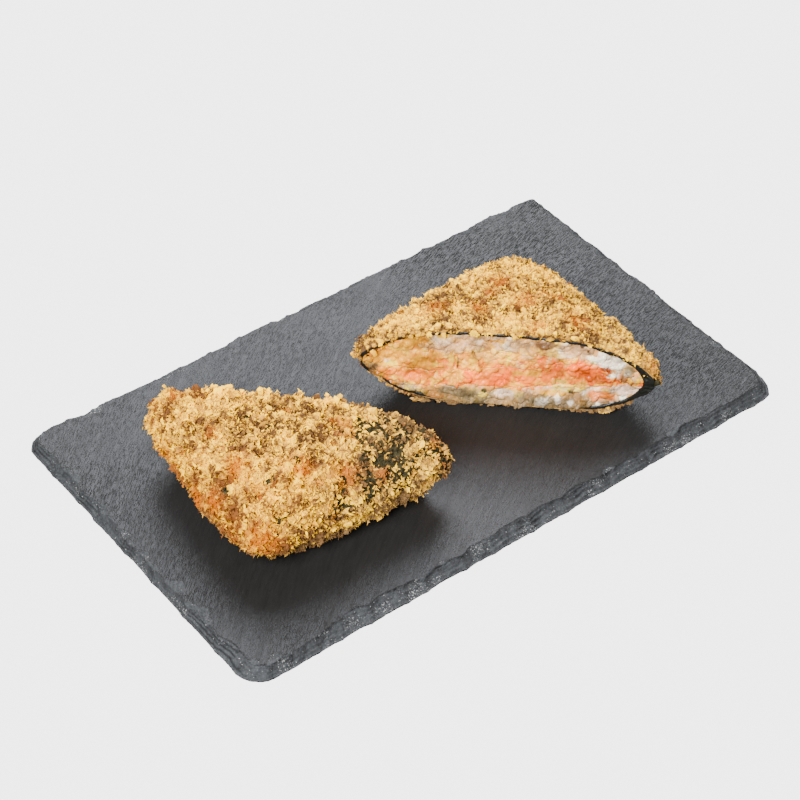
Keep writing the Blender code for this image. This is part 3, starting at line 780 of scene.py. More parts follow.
# Patches on the cut: place along it, height over the mid-plane, half width, half height, all in millimetres
# The grey patch low in the cut, at -18 mm along it and -12 mm high, is painted shade
PATCHES = (
    ("rice", -24, 9.6, 11, 2.2), ("rice", 26, 13.5, 6.5, 3.4), ("white", 38.5, 8.6, 7.0, 4.2),
    ("white", 40.2, 1.7, 2.4, 1.9), ("pearl", 45, -5.8, 7, 2.4), ("grey", -18, -12, 9.5, 3.2),
    ("pearl", -0.6, -11, 4.6, 1.9), ("white", -45.6, 1.2, 1.6, 1.2), ("grey", 46.5, 4.6, 2.6, 2.2),
    ("gold", -3.1, 15.0, 3.2, 1.0), ("glow", 37, 4.3, 2.6, 1.2), ("glow", 42, -1.4, 9, 0.5),
    ("gold", -36.3, 10.2, 1.8, 1.8), ("gold", -44, 3.6, 6.5, 2.6), ("gold", -50, 1.5, 5, 3),
    ("coral", 29, 4.0, 6.2, 4.6), ("peach", 36.5, -8.8, 6, 3.0), ("pink", -35.6, -5, 4.2, 3.0),
    ("pink", -24.5, 2.8, 2.6, 1.2), ("coral", -3, -4.6, 4.4, 3.4), ("pink", -9, -3.6, 4, 2.6),
    ("cream", -19.5, -4.6, 5, 3.6), ("cream", 28.6, -4.6, 3.0, 2.2), ("cream", 18, -9.2, 7, 1.8),
    ("brown", 14, 14.6, 6.2, 2.6), ("dark", 27.4, 15.4, 1.0, 1.3), ("dark", 30.2, 13.2, 0.9, 1.2),
    ("lime", 19.4, -3.4, 2.8, 1.3), ("green", 24.6, -7.4, 1.2, 1.7), ("green", -8, -10, 1.3, 1.4),
    ("grey", -52, -2.0, 4, 2.6), ("gold", 8, -0.5, 5, 1.2), ("gold", 21, 7.2, 2.4, 1.1),
)
# grey and dark also serve as painted shade: grey low in the cut, dark in the slits
PALETTE = {
    "rice": paint(196, 148, 96), "white": paint(255, 236, 208), "grey": paint(106, 90, 62),
    "cream": paint(222, 156, 42), "gold": paint(206, 140, 18), "glow": paint(160, 58, 8),
    "coral": paint(232, 92, 8), "peach": paint(184, 94, 20), "pearl": paint(206, 174, 146),
    "pink": paint(232, 116, 24), "blush": paint(240, 150, 52), "brown": paint(98, 66, 44),
    "dark": paint(40, 30, 22), "lime": paint(160, 138, 48), "green": paint(34, 44, 24),
    "lemon": paint(255, 214, 54),
}
# The colours a layer's chunks are picked from
CHUNKS = {
    "rice": ("white", "rice", "cream", "rice", "grey", "gold", "white", "lemon", "rice", "blush"),
    "salmon": ("coral", "pink", "coral", "blush", "peach", "pink", "coral", "cream", "coral", "pink"),
    "cream": ("lemon", "gold", "pink", "cream", "gold", "blush", "rice", "lemon", "coral", "cream"),
}
# The colours that cross each layer's borders
CROSSINGS = {
    "rice_base": (("salmon_floor", "coral"), ("salmon_floor", "gold")),
    "salmon": (("salmon_floor", "cream"), ("salmon_ceiling", "cream")),
    "cream": (("salmon_ceiling", "coral"), ("cream_ceiling", "rice")),
    "rice_top": (("cream_ceiling", "gold"), ("cream_ceiling", "lemon")),
}
# Size of a layer's lumps, and how deep its lumps, its swells and its grit are
RELIEF = {
    "rice": (0.0026, 0.0007, 0.0011, 0.0004), "salmon": (0.0046, 0.0006, 0.0015, 0.0006),
    "cream": (0.0030, 0.0006, 0.0014, 0.0006),
}


def border(name, x):
    """A border's height at places along the cut: its line, with ripples of 2 and 1.3 mm and slow swells."""
    places, heights = np.array(BORDERS[name]).T * MM
    ripple = 0.0003 * np.sin(x / 0.0021 + 900 * heights[0]) + 0.0002 * np.sin(x / 0.0013)
    return np.interp(x, places, heights) + ripple + 0.0011 * rough_noise(xyz(x, heights[0], 0.5), 0.0038, 41)


def layer_bounds(layer, x):
    """A layer's floor and ceiling at places along the cut, with a hair's gap to its neighbours."""
    salmon_floor = border("salmon_floor", x)
    salmon_ceiling = np.maximum(border("salmon_ceiling", x), salmon_floor + 0.0008)
    cream = np.where(x <= CREAM_END, border("cream_ceiling", x), salmon_ceiling)
    cream = np.maximum(cream, salmon_ceiling + 0.0002)
    lines = (np.full_like(x, -HALF_HEIGHT), salmon_floor, salmon_ceiling, cream, np.full_like(x, HALF_HEIGHT))
    step = list(LAYERS).index(layer)
    return lines[step] + HAIR, lines[step + 1] - HAIR


def layer_room(layer, half, x, y):
    """A layer's lowest and highest point at places along and behind the cut, inside the dome and fold."""
    floor, ceiling = layer_bounds(layer, half.turn * x)
    middle = settle(x, half)
    height = dome(x, y, half, FILLING_INSET) * fold_room(x, half)
    low = np.maximum(floor, np.maximum(middle - height, underside(x, half, FILLING_INSET)))
    return low, np.minimum(ceiling, middle + height)


def blend(base, colour, share):
    """The base colours moved towards one of the palette's by a share."""
    return base + (np.array(PALETTE[colour]) - base) * np.clip(share, 0, 1)[..., None]


def slit_marks(x, z, width):
    """How near places on the cut are to its slits, 0 to 1: the bell of the distance to each short line."""
    total = 0
    for (x0, z0), (x1, z1) in SLITS:
        run, rise = x1 - x0, z1 - z0
        share = np.clip(((x - x0) * run + (z - z0) * rise) / (run**2 + rise**2), 0, 1)
        total = total + bell(np.hypot(x - x0 - share * run, z - z0 - share * rise) / width)
    return total


def cut_cells(slot, points, half):
    """The chunks in a layer's cut: distances to each one's middle and its neighbour's, and its number."""
    place = points * (half.turn, 0, 1)
    bent = place * (1.05, 1, 0.85) + 0.0011 * wobble(place, 0.0030, (60, 68, 69))
    return crumb_cells(bent, RELIEF[slot][0], 61)


def mingled(base, layer, place, mid, fine):
    """Specks of a layer's neighbours within 2.8 mm of their border, so that no clean line shows."""
    for step, (line, colour) in enumerate(CROSSINGS[layer]):
        near = ease(0.0028, 0.0006, abs(place[..., 2] - border(line, place[..., 0])))
        speck = ease(0.0, 0.3, (mid if step else -mid) + 0.4 * fine)
        base = blend(base, colour, 0.8 * near * speck)
    return base


def filling_colour(layer, points, half):
    """The filling's colour at points.

    Its layer's chunks and mottling, then what crosses its borders, the golden end, the coral band, the
    patches, each with a ragged edge, and the slits, painted dark as their shade. A random drift of painted
    light and shade goes over it all, with painted shade along the chunks' borders.
    """
    slot = LAYERS[layer].slot
    place = points * (half.turn, 1, 1)
    tall = place * (1, 1, 0.75)
    wide, mid, fine = (rough_noise(tall, *kind) for kind in ((0.0050, 51), (0.0025, 55), (0.0012, 59)))
    x, z = place[..., 0] / MM, place[..., 2] / MM
    nearest, second, number = cut_cells(slot, points, half)
    choice = np.array([PALETTE[name] for name in CHUNKS[slot]])
    broad = crumb_cells(place * (0.9, 0, 0.9) + 0.0018 * mid[..., None], 0.0062, 92)[2]
    small, large = (choice[(share * len(choice)).astype(int)] for share in (number, broad))
    base = 0.40 * small + 0.60 * large
    if slot == "rice":
        base = blend(base, "rice", 0.35 + 0.5 * wide)
        speckled = 0.5 * ease(0.0, 0.6, fine) * (layer == "rice_base")
        # painted shade: the rice grows greyer towards the bottom of the cut
        base = blend(base, "grey", 0.75 * ease(-8, -14, z) + speckled)
        base = blend(base, "white", ease(0.0, 0.4, -mid) * ease(5, 22, x))
    elif slot == "salmon":
        base = blend(base, "coral", 0.5 * ease(-0.3, 0.4, wide))
        base = blend(base, "blush", 0.6 * ease(0.1, 0.5, mid))
        base = blend(base, "cream", 0.6 * ease(0.15, 0.5, -mid) * ease(34, 20, x))
    else:
        base = blend(base, "gold", 0.5 * ease(-0.05, 0.35, mid))
        base = blend(base, "pink", 0.5 * ease(0.05, 0.45, -wide))
    base = mingled(base, layer, place, mid, fine)
    left = ease(-14, -36, x)
    base = blend(base, "gold", 0.75 * left * ease(-0.35, 0.30, mid))
    base = blend(base, "peach", 0.6 * left * ease(0.10, 0.45, wide))
    base = blend(base, "lemon", 0.5 * left * ease(0.05, 0.4, -mid))
    band = ease(7, 1, abs(z + 2.5 - 0.12 * x))
    base = blend(base, "coral", 0.55 * band * ease(0.1, 0.45, mid))
    for colour, patch_x, patch_z, half_width, half_height in PATCHES:
        distance = np.hypot((x - patch_x) / half_width, (z - patch_z) / half_height) + 0.45 * mid
        base = blend(base, colour, 0.92 * ease(1.10, 0.70, distance))
    # painted shade in the slits: they are pressed in and painted dark
    base = blend(base, "dark", 0.95 * slit_marks(x, z, 0.5))
    # painted light and shade: a random drift lighter and darker over the cut, darker at the left end, with a
    # little painted shade along the chunks' borders
    gaps = 0.05 * bell((second - nearest) / 0.14)
    drift = 0.46 * smooth_noise(place, 0.0085, 50) + 0.50 * wide + 0.2 * fine
    drift = drift + 0.46 * rough_noise(place, 0.0034, 57)
    light = np.clip(0.97 - 0.1 * left + drift - gaps, 0.3, 1.7)
    return np.clip(base * light[..., None], 0, 1)


def cut_relief(layer, points, half):
    """How far the cut stands out towards -Y: rounded lumps, softer ones, grit, and slits pressed in."""
    slot = LAYERS[layer].slot
    depth, swell, grit = RELIEF[slot][1:]
    place = points * (half.turn, 0, 1)
    lumps, second, _ = cut_cells(slot, points, half)
    out = depth * (0.55 - lumps**2) - 0.00005 * bell((second - lumps) / 0.16)
    out += swell * rough_noise(place, 0.0046, 63) + grit * rough_noise(place, 0.0012, 67)
    out -= 0.0006 * (1 - abs(rough_noise(place * (1, 1, 0.8), 0.0024, 65))) ** 4
    return out - 0.0020 * slit_marks(place[..., 0] / MM, place[..., 2] / MM, 0.42)


def sagging(x, half):
    """Where rice hangs over the wrap's lower edge at the cut: 1 along its middle and near the open tip."""
    s = half.turn * x / MM
    return bell(((s + 2) / 26) ** 2) + 0.6 * bell((s + 46) / 3)


def layer_rings(layer, half, food):
    """A layer as a ring at each place along the cut.

    The ring runs up its face, back along its ceiling to where the wrap closes it, and forward on its floor.
    """
    open_end = cut_end(half, FILLING_INSET) - 0.0002
    x = along_cut(half, open_end, FOLD_START - 0.0003, food.filling_columns)[:, None]
    y = plan_limits(x, half, FILLING_INSET)[1] * np.linspace(0, 1, FINE)
    low, top = layer_room(layer, half, x, y)
    kept = top[:, 0] - low[:, 0] > 0.00025
    end = np.max(np.where(top - low > HAIR, y, 0), axis=1, keepdims=True)
    back = end * np.cos(np.pi / 2 * np.linspace(1, 0, 22))
    low, top = layer_room(layer, half, x, back)
    top = np.maximum(top, low)
    share = np.linspace(0, 1, food.filling_rows)
    front = xyz(x, 0.0, low[:, :1] + (top - low)[:, :1] * share)
    rounded = abs(2 * share - 1)
    front[..., 1] = 0.0002 * rounded**5 - cut_relief(layer, front, half) * (1 - 0.6 * rounded**8)
    ceiling = xyz(x, np.maximum(back[:, 1:], front[:, -1:, 1]), top[:, 1:])
    floor = xyz(x, np.maximum(back[:, 1:], front[:, :1, 1]), low[:, 1:])[:, ::-1]
    rings = flare(np.concatenate([front, ceiling, floor[:, 1:]], axis=1), half, FILLING_FLARE)
    sag = SAG * sagging(x, half) * fading(rings[..., 1], 0.003)
    rings[..., 2] -= sag * ease(-0.007, -0.014, rings[..., 2])
    first, last = np.flatnonzero(kept)[[0, -1]]
    return rings[first : last + 1]


def bits_in(layer, half, seed):
    """Cooked grains or shreds lying in the cut of a layer, half sunk, each in the colour of its place."""
    kind = LAYERS[layer]
    draw = np.random.default_rng(seed)
    clear = kind.length[1] * 0.6
    s = draw.uniform(clear - cut_end(half, FILLING_INSET), FOLD_START - clear, kind.bits)
    low, high = layer_bounds(layer, s)
    x = half.turn * s
    room = np.minimum(dome(x - 0.002, 0, half, FILLING_INSET), dome(x + 0.002, 0, half, FILLING_INSET))
    room = room * fold_room(x + 0.001 * half.turn, half)
    middle = settle(x, half)
    low = np.maximum(low - 0.0010, np.maximum(middle - room, underside(x, half, FILLING_INSET))) + 0.0006
    high = np.minimum(high + 0.0010, middle + room) - 0.0006
    fits = high > low
    x, low, high = x[fits], low[fits], high[fits]
    lowest_first = 2.0 if layer == "rice_base" else 1.0
    place = xyz(x, 0.0, low + (high - low) * draw.random(len(x)) ** lowest_first)
    place[:, 1] = 0.0005 - cut_relief(layer, place, half)
    size = draw.uniform(*kind.length, len(x))
    slim = draw.uniform(*kind.slim, (2, len(x)))
    sizes = xyz(size, size * slim[0], size * slim[1]) / 2
    sizes[:, 2] = np.minimum(sizes[:, 2], (high - low) / 2 + 0.0004)
    axes = turned_axes(np.tile([0.0, -1.0, 0.0], (len(x), 1)), 0.2, draw)
    place = flare(place, half, FILLING_FLARE)
    place[:, 2] -= SAG * sagging(place[:, 0], half) * ease(-0.007, -0.014, place[:, 2])
    points, faces = cloud(unit_ball(2), place, axes, sizes, 0.18, draw)
    colour = 0.6 * filling_colour(layer, points, half) + 0.4 * filling_colour(layer, place, half)[:, None]
    colour = np.clip(colour * draw.uniform(0.85, 1.15, (len(x), 1, 1)), 0, 1)
    return points.reshape(-1, 3), faces, colour.reshape(-1, 3)


# Nori and cucumber


def nori_rings(half, food):
    """The wrap as rings: a thin coat whose thickness and front edge wander, folded solid at one tip.

    It ends a little before the other tip, where its two sheets stay apart.
    """
    reach = cut_end(half, NORI_OUTSIDE) - 0.0003
    x = along_cut(half, min(OPEN_TIP, reach), reach, food.nori_columns)
    filled = half.turn * x > FOLD_START
    outside, inside = shell(x, half, (NORI_OUTSIDE, NORI_INSIDE), (60, 36), filled)
    x, filled = x[:, None], filled[:, None]
    middle = settle(x, half)
    inside[..., 2] = middle + (inside[..., 2] - middle) * fold_room(x, half)
    line = xyz(half.turn * x, 0, 0.3)
    wander = 0.00035 * rough_noise(line, 0.0052, 81)
    thinner = np.where(filled, 0, 0.00028 * rough_noise(line, 0.0034, 85))
    edge = -0.0004 - 0.0005 * rough_noise(line, 0.0030, 83)
    for part in (outside, inside):
        front = np.exp(-part[..., 1] / 0.0015)
        up = np.sign(part[..., 2] - middle)
        part[..., 2] += wander * front
        if part is inside:
            part[..., 2] += up * front * thinner
        hidden = 0.0022 * sagging(x, half) * ease(-0.002, -0.006, part[..., 2])
        part[..., 1] += (edge + hidden) * front
    lower, upper = rims(outside, inside, 9)
    for band in (lower, upper):
        band[..., 1] += rough_noise(band * (0.35, 1, 1), 0.0008, 87) * (0.0001 + 0.0006 * filled)
    return np.concatenate([outside, lower, inside, upper], axis=1)


def cucumber_rings(strip, half):
    """A strip running into the food: a rounded section, |u|^2.6 + |v|^2.6 = 1, from its face to its end."""
    place, middle, width, thickness, depth = strip
    angle = np.linspace(0, 2 * np.pi, 56, endpoint=False)
    across, upward = (np.sign(part) * abs(part) ** (2 / 2.6) for part in (np.cos(angle), np.sin(angle)))
    inset = np.concatenate([np.linspace(0.02, 0.92, 11), [1, 1, 1, 1, 1, 0.9]])[:, None]
    into = np.concatenate([np.zeros(10), [0.0001, 0.0005], np.linspace(0.1, 1, 5) * depth])[:, None]
    x = half.turn * place + inset * across * width / 2
    rings = xyz(x, into - 0.0005, middle + inset * upward * thickness / 2)
    rings[..., 1] -= 0.8 * cut_relief("salmon", rings, half) * ease(0.002, 0, into)
    return flare(rings, half, FILLING_FLARE)


# Board


def board_outline(count):
    """Points round the board, anticlockwise from the middle of its left end: half of them along the front.

    Returned with their outward directions, their distances along the outline and its whole length.
    """
    points, outward = [[(-BOARD_HALF[0], 0.0)]], [[(-1.0, 0.0)]]
    for right, behind, start in ((0, 0, 180), (1, 0, 270), (1, 1, 0), (0, 1, 90)):
        radius = CORNER_RADII[right, behind]
        middle = (2 * np.array([right, behind]) - 1) * (BOARD_HALF - radius)
        angle = np.radians(np.linspace(start, start + 90, CORNER_POINTS))
        way = np.stack([np.cos(angle), np.sin(angle)], axis=1)
        points.append(middle + radius * way)
        outward.append(way)
        if right and not behind:
            points.append([(BOARD_HALF[0], 0.0)])
            outward.append([(1.0, 0.0)])
    points, outward = (np.concatenate([*rows, rows[0]]) for rows in (points, outward))
    along = np.concatenate([[0], np.cumsum(np.linalg.norm(np.diff(points, axis=0), axis=1))])
    right_end = along[1 + 2 * CORNER_POINTS]
    front = np.linspace(0, right_end, count // 2, endpoint=False)
    back = np.linspace(right_end, along[-1], count // 2, endpoint=False)
    wanted = np.concatenate([front, back])
    at = np.stack([np.interp(wanted, along, points[:, k]) for k in range(2)], axis=1)
    way = np.stack([np.interp(wanted, along, outward[:, k]) for k in range(2)], axis=1)
    return at, way / np.linalg.norm(way, axis=1, keepdims=True), wanted, along[-1]


def chip_depths(distances, total):
    """How deep in a chip each point of the edge lies: 0 where two chips meet, most in a chip's middle."""
    draw = random.Random(5)
    starts = [0.0]
    while starts[-1] < total - CHIP_LENGTHS[1]:
        starts.append(starts[-1] + draw.uniform(*CHIP_LENGTHS))
    starts = np.array(starts + [total])
    sizes = np.array([draw.uniform(*CHIP_SIZES) for _ in starts])
    chip = np.clip(np.searchsorted(starts, distances, side="right") - 1, 0, len(starts) - 2)
    along = (distances - starts[chip]) / (starts[chip + 1] - starts[chip])
    return sizes[chip] * np.sqrt(np.maximum(4 * along * (1 - along), 0))


def edge_distance(points):
    """Distance in from the outline of a rectangle whose corners are rounded, each with its own radius."""
    side = (points > 0).astype(int)
    radius = CORNER_RADII[side[..., 0], side[..., 1]]
    past = abs(points) - (BOARD_HALF - radius[..., None])
    outside = np.linalg.norm(np.maximum(past, 0), axis=-1)
    return radius - outside - np.minimum(np.max(past, axis=-1), 0)


def grain_place(points):
    """Places along and across the slate's cleft: its lines are steep at the left, flat at the right."""
    x, y = points[..., 0], points[..., 1]
    along = x * math.cos(GRAIN_ANGLE) + y * math.sin(GRAIN_ANGLE)
    across = (y - math.tan(GRAIN_ANGLE) * x + GRAIN_BEND * x * x) * math.cos(GRAIN_ANGLE)
    return xyz(along, across, 0)


def marked_edge(points):
    """How sharply the chipped border is set off, from 0 to 1: most along the front, least at the left end."""
    x, y = points[..., 0], points[..., 1]
    front = ease(-0.050, -0.066, y)
    left = ease(-0.100, -0.112, x) * (1 - front)
    return 0.55 + 0.45 * front - 0.35 * left


def border_heights(spot, share):
    """The slate's chipped border, and how steep it is where its layers split.

    It rises as 0.62u + 0.38u^3 over the chip's run, with lumps and low plates on it. A sine of its own height
    turns the rise into thin steps.
    """
    drop = CREASE * np.clip(0.55 + 0.9 * smooth_noise(spot, 0.013, 90), 0.08, 1) * marked_edge(spot)
    height = BOARD_FOOT + (BOARD_TOP - drop - BOARD_FOOT) * (0.62 * share + 0.38 * share**3)
    plates = np.round(3 * rough_noise(spot, 0.0070, 105)) / 3
    lumps = 0.00030 * rough_noise(spot, 0.0042, 91) + 0.00065 * plates
    height += lumps * ease(0, 0.3, share) * ease(1, 0.85, share)
    turn = 2 * np.pi * height / SPLIT
    steep = ease(0.3, 1.0, -np.cos(turn)) * ease(0.15, 0.3, share)
    steep = steep * ease(-0.1, 0.3, rough_noise(spot, 0.009, 108))
    height -= SPLIT_DEPTH * SPLIT / (2 * np.pi) * np.sin(turn)
    height += 0.00010 * rough_noise(spot, 0.0011, 93) * ease(1.0, 0.8, share)
    return height, steep * (share < 1)


def flat_heights(spot):
    """The slate's split face: fine ridges along its cleft, and low ledges of two sizes."""
    bent = grain_place(spot) + 0.0008 * wobble(spot, 0.02, (94, 95, 96))
    ridges = rough_noise(bent * (0.20, 1, 1), 0.0021, 97)
    ledges = ease(-0.02, 0.02, rough_noise(bent * (0.5, 1, 1), 0.034, 98) - 0.1)
    ledges = ledges + ease(-0.02, 0.02, rough_noise(bent * (0.45, 1, 1), 0.022, 99) - 0.25)
    return BOARD_TOP - 0.00005 - 0.00005 * (ridges + 1) - 0.00012 * ledges


def hollows(spot, distance, outline, outward):
    """How much small bites take off near the edge: bowls, depth times one minus the squared distance."""
    draw = np.random.default_rng(7)
    chosen = draw.integers(0, len(outline), BITES)
    radius = draw.uniform(*BITE_SIZES, BITES)
    inward = draw.uniform(0.0, 1.0, BITES) ** 1.3 * BITE_REACH
    middle = outline[chosen] - outward[chosen] * inward[:, None]
    depth = radius * draw.uniform(*BITE_DEPTHS, BITES)
    near = distance < BITE_ZONE
    flat = spot[near, :2] + 0.0009 * wobble(spot[near], 0.0022, (88, 89), rough_noise)
    deepest = np.zeros(len(flat))
    for place, size, deep in zip(middle, radius, depth):
        reach = np.sum((flat - place) ** 2, axis=1) / size**2
        deepest = np.maximum(deepest, deep * np.maximum(1 - reach, 0))
    taken = np.zeros(distance.shape)
    taken[near] = deepest
    return taken


def board_rings(board):
    """The slate as rows round its outline, with what its material reads at each point.

    Each row goes up the chipped border, in over the flat to a line down the middle and back underneath. Rows
    opposite each other, front and back, end at the same point of that line.
    """
    outline, outward, along, total = board_outline(board.edge_points)
    deep = chip_depths((along - along[board.edge_points // 4]) % total, total)
    line = xyz(*outline.T, 0)
    slow = 0.5 + 0.75 * smooth_noise(line, 0.021, 102)
    run = CHIP_RUN[0] + (CHIP_RUN[1] - CHIP_RUN[0]) * (0.35 * deep + 0.65 * np.clip(slow, 0, 1))
    run = run * (0.55 + 0.45 * marked_edge(outline)) * (1 + 0.16 * rough_noise(line, 0.0036, 101))
    run = run + 0.00035 * rough_noise(line, 0.0014, 104)

    mirrored = np.roll(outline[::-1], 1, axis=0)
    spine = np.clip((outline + mirrored) / 2, -SPINE, SPINE) * (1, 0)
    near = np.linspace(0, BORDER_WIDTH, BORDER_ROWS) / np.linalg.norm(spine - outline, axis=1)[:, None]
    far = np.linspace(0, 1, board.flat_rows + 1)[1:]
    share = np.concatenate([near, near[:, -1:] + (1 - near[:, -1:]) * far], axis=1)
    points = outline[:, None] + (spine - outline)[:, None] * share[..., None]
    distance = edge_distance(points)
    spot = xyz(points[..., 0], points[..., 1], 0)
    rise = np.clip(distance / run[:, None], 0, 1)
    border_z, steep = border_heights(spot, rise)
    heights = np.where(rise < 1, np.minimum(border_z, BOARD_TOP), flat_heights(spot))
    taken = hollows(spot, distance, outline, outward)
    heights = np.maximum(heights - taken, 0.0006 + 0.0003 * ease(0, 0.002, distance))

    bite = EDGE_BITE * deep + 0.00025 * (rough_noise(line, 0.0016, 103) + 0.6)
    bite = outward * np.maximum(bite, 0)[:, None]
    low, high = (outline - bite).min(axis=0), (outline - bite).max(axis=0)
    pulled = points - bite[:, None] * fading(distance, 0.006)[..., None]
    fitted = (pulled - (high + low) / 2) * 2 * BOARD_HALF / (high - low)
    pulled = pulled + (fitted - pulled) * fading(distance, 0.02)[..., None]
    foot = pulled[:, 0] - outward * 0.0003
    under = foot[:, None] + (spine - foot)[:, None] * UNDER_SHARES[:, None]
    under, top = xyz(under[..., 0], under[..., 1], 0), xyz(pulled[..., 0], pulled[..., 1], heights)
    rings = np.concatenate([under[:, ::-1], top], axis=1)

    # painted shade: a dark line where the border drops below the flat, and on the steep risers where its
    # layers split
    crease = bell((rise - 0.99) / 0.05) * (rise < 1) * marked_edge(points)
    crease *= 0.3 + 0.7 * ease(-0.3, 0.3, smooth_noise(line, 0.012, 107))[:, None]
    chipped = np.clip(ease(1.0, 0.96, rise) + ease(0.00002, 0.0002, taken), 0, 1)
    marks = {"chipped": chipped, "crease": np.maximum(crease, 0.75 * steep)}
    plain = np.zeros(under.shape[:2])
    marks = {name: np.concatenate([plain, values], axis=1) for name, values in marks.items()}
    x, y = rings[..., 0], rings[..., 1]
    cleft = 0.42 + 0.62 * ease(0.015, 0.08, x) + 0.42 * ease(-0.05, -0.10, x)
    cleft *= 1 - 0.4 * ease(-0.03, -0.055, y) * ease(0.05, 0.01, x)
    cleft *= 1 + 0.6 * smooth_noise(rings * (1, 1, 0), 0.017, 106)
    return rings, {**marks, "cleft": cleft, "grain": grain_place(rings)}


# Materials


class Shader:
    """Short ways to add nodes to a material or a node group, and to join them."""

    def __init__(self, tree):
        self.tree = tree

    def node(self, kind, **settings):
        """A new node with its settings."""
        made = self.tree.nodes.new(kind)
        for name, value in settings.items():
            setattr(made, name, value)
        return made

    def put(self, value, socket):
        """Gives an input a value, or links an output to it."""
        if isinstance(value, bpy.types.NodeSocket):
            self.tree.links.new(value, socket)
        else:
            socket.default_value = value

    def feed(self, node, **inputs):
        """Gives a node's inputs their values, each by its name with _ for a space."""
        for name, value in inputs.items():
            self.put(value, node.inputs[name.replace("_", " ")])
        return node

    def place(self):
        """The point's place in the object."""
        return self.node("ShaderNodeTexCoord").outputs["Object"]

    def attribute(self, name, output="Fac"):
        """What the points carry under this name."""
        return self.node("ShaderNodeAttribute", attribute_name=name).outputs[output]

    def stretched(self, vector, stretch):
        """A vector whose coordinates are each multiplied."""
        made = self.node("ShaderNodeMapping")
        return self.feed(made, Vector=vector, Scale=stretch).outputs["Vector"]

    def math(self, operation, first, second):
        """The result of an operation on two numbers."""
        made = self.node("ShaderNodeMath", operation=operation)
        for socket, value in zip(made.inputs, (first, second)):
            self.put(value, socket)
        return made.outputs[0]

    def plus(self, first, second):
        """The sum."""
        return self.math("ADD", first, second)

    def minus(self, first, second):
        """The difference."""
        return self.math("SUBTRACT", first, second)

    def times(self, first, second):
        """The product."""
        return self.math("MULTIPLY", first, second)

    def noise(self, vector, size, detail=3.0, roughness=0.55, distortion=0.0):
        """Soft noise, 0 to 1, with lumps of about this size in metres."""
        scale = self.math("DIVIDE", 1.0, size) if isinstance(size, bpy.types.NodeSocket) else 1 / size
        made = self.node("ShaderNodeTexNoise")
        self.feed(made, Vector=vector, Scale=scale, Detail=detail, Roughness=roughness, Distortion=distortion)
        return made.outputs["Fac"]

    def uneven(self, vector, size, swing, low):
        """A number that noise of this size raises from low by up to swing."""
        return self.plus(self.times(self.noise(vector, size), swing), low)

    def ramp(self, value, low, high):
        """0 at low, 1 at high, eased between."""
        made = self.node("ShaderNodeMapRange", interpolation_type="SMOOTHSTEP")
        return self.feed(made, Value=value, From_Min=low, From_Max=high).outputs["Result"]

    def mix(self, share, first, second):
        """The first colour moved towards the second by a share."""
        made = self.node("ShaderNodeMix", data_type="RGBA")
        sockets = {socket.identifier: socket for socket in (*made.inputs, *made.outputs)}
        self.put(share, sockets["Factor_Float"])
        for key, value in (("A_Color", first), ("B_Color", second)):
            self.put(value if isinstance(value, bpy.types.NodeSocket) else (*value, 1.0), sockets[key])
        return sockets["Result_Color"]

    def group(self, group, **inputs):
        """The one output of a node group."""
        return self.feed(self.node("ShaderNodeGroup", node_tree=group), **inputs).outputs[0]

    def mottled(self, vector, base, large, small, amount):
        """The base colour made uneven in lumps of two sizes."""
        return self.group(mottle_group(), Vector=vector, Base=base, Large=large, Small=small, Amount=amount)

    def grit(self, vector, large, small):
        """A height that is rough at two sizes."""
        return self.group(grit_group(), Vector=vector, Large=large, Small=small)

    def bump(self, height, distance, strength):
        """The normal that a height in units of the distance gives."""
        made = self.node("ShaderNodeBump")
        return self.feed(made, Height=height, Distance=distance, Strength=strength).outputs["Normal"]


def shared_group(name, output, build, **inputs):
    """The node group of this name, made when it is first asked for.

    Each input is given with its value: a number, the three of a vector or the four of a colour. Build takes a
    Shader and the inputs' sockets, and returns the socket that becomes the output.
    """
    group = bpy.data.node_groups.get(name)
    if group:
        return group
    group = bpy.data.node_groups.new(name, "ShaderNodeTree")
    for label, value in inputs.items():
        kind = {1: "NodeSocketFloat", 3: "NodeSocketVector", 4: "NodeSocketColor"}[np.size(value)]
        group.interface.new_socket(name=label, in_out="INPUT", socket_type=kind).default_value = value
    kind = "NodeSocketColor" if output == "Color" else "NodeSocketFloat"
    group.interface.new_socket(name=output, in_out="OUTPUT", socket_type=kind)
    shader = Shader(group)
    result = build(shader, shader.node("NodeGroupInput").outputs)
    shader.put(result, shader.node("NodeGroupOutput").inputs[0])
    return group


def mottle_group():
    """Uneven colour: the base times one plus the amount of two noises' swing."""

    def build(shader, given):
        large, small = (shader.noise(given["Vector"], given[size], 3.0, 0.6) for size in ("Large", "Small"))
        swing = shader.times(shader.minus(shader.plus(large, small), 1.0), 2.2)
        scaled = shader.node("ShaderNodeVectorMath", operation="SCALE")
        shader.put(given["Base"], scaled.inputs[0])
        shader.put(shader.plus(shader.times(swing, given["Amount"]), 1.0), scaled.inputs["Scale"])
        return scaled.outputs[0]

    return shared_group(
        "Mottle", "Color", build,
        Vector=(0, 0, 0), Base=(0.5, 0.5, 0.5, 1), Large=0.004, Small=0.001, Amount=0.3,
    )


def grit_group():
    """A rough height: one noise, plus half of a finer one."""

    def build(shader, given):
        large, small = (shader.noise(given["Vector"], given[size], 2.0, 0.5) for size in ("Large", "Small"))
        return shader.plus(large, shader.times(small, 0.5))

    return shared_group("Grit", "Height", build, Vector=(0, 0, 0), Large=0.0012, Small=0.0004)


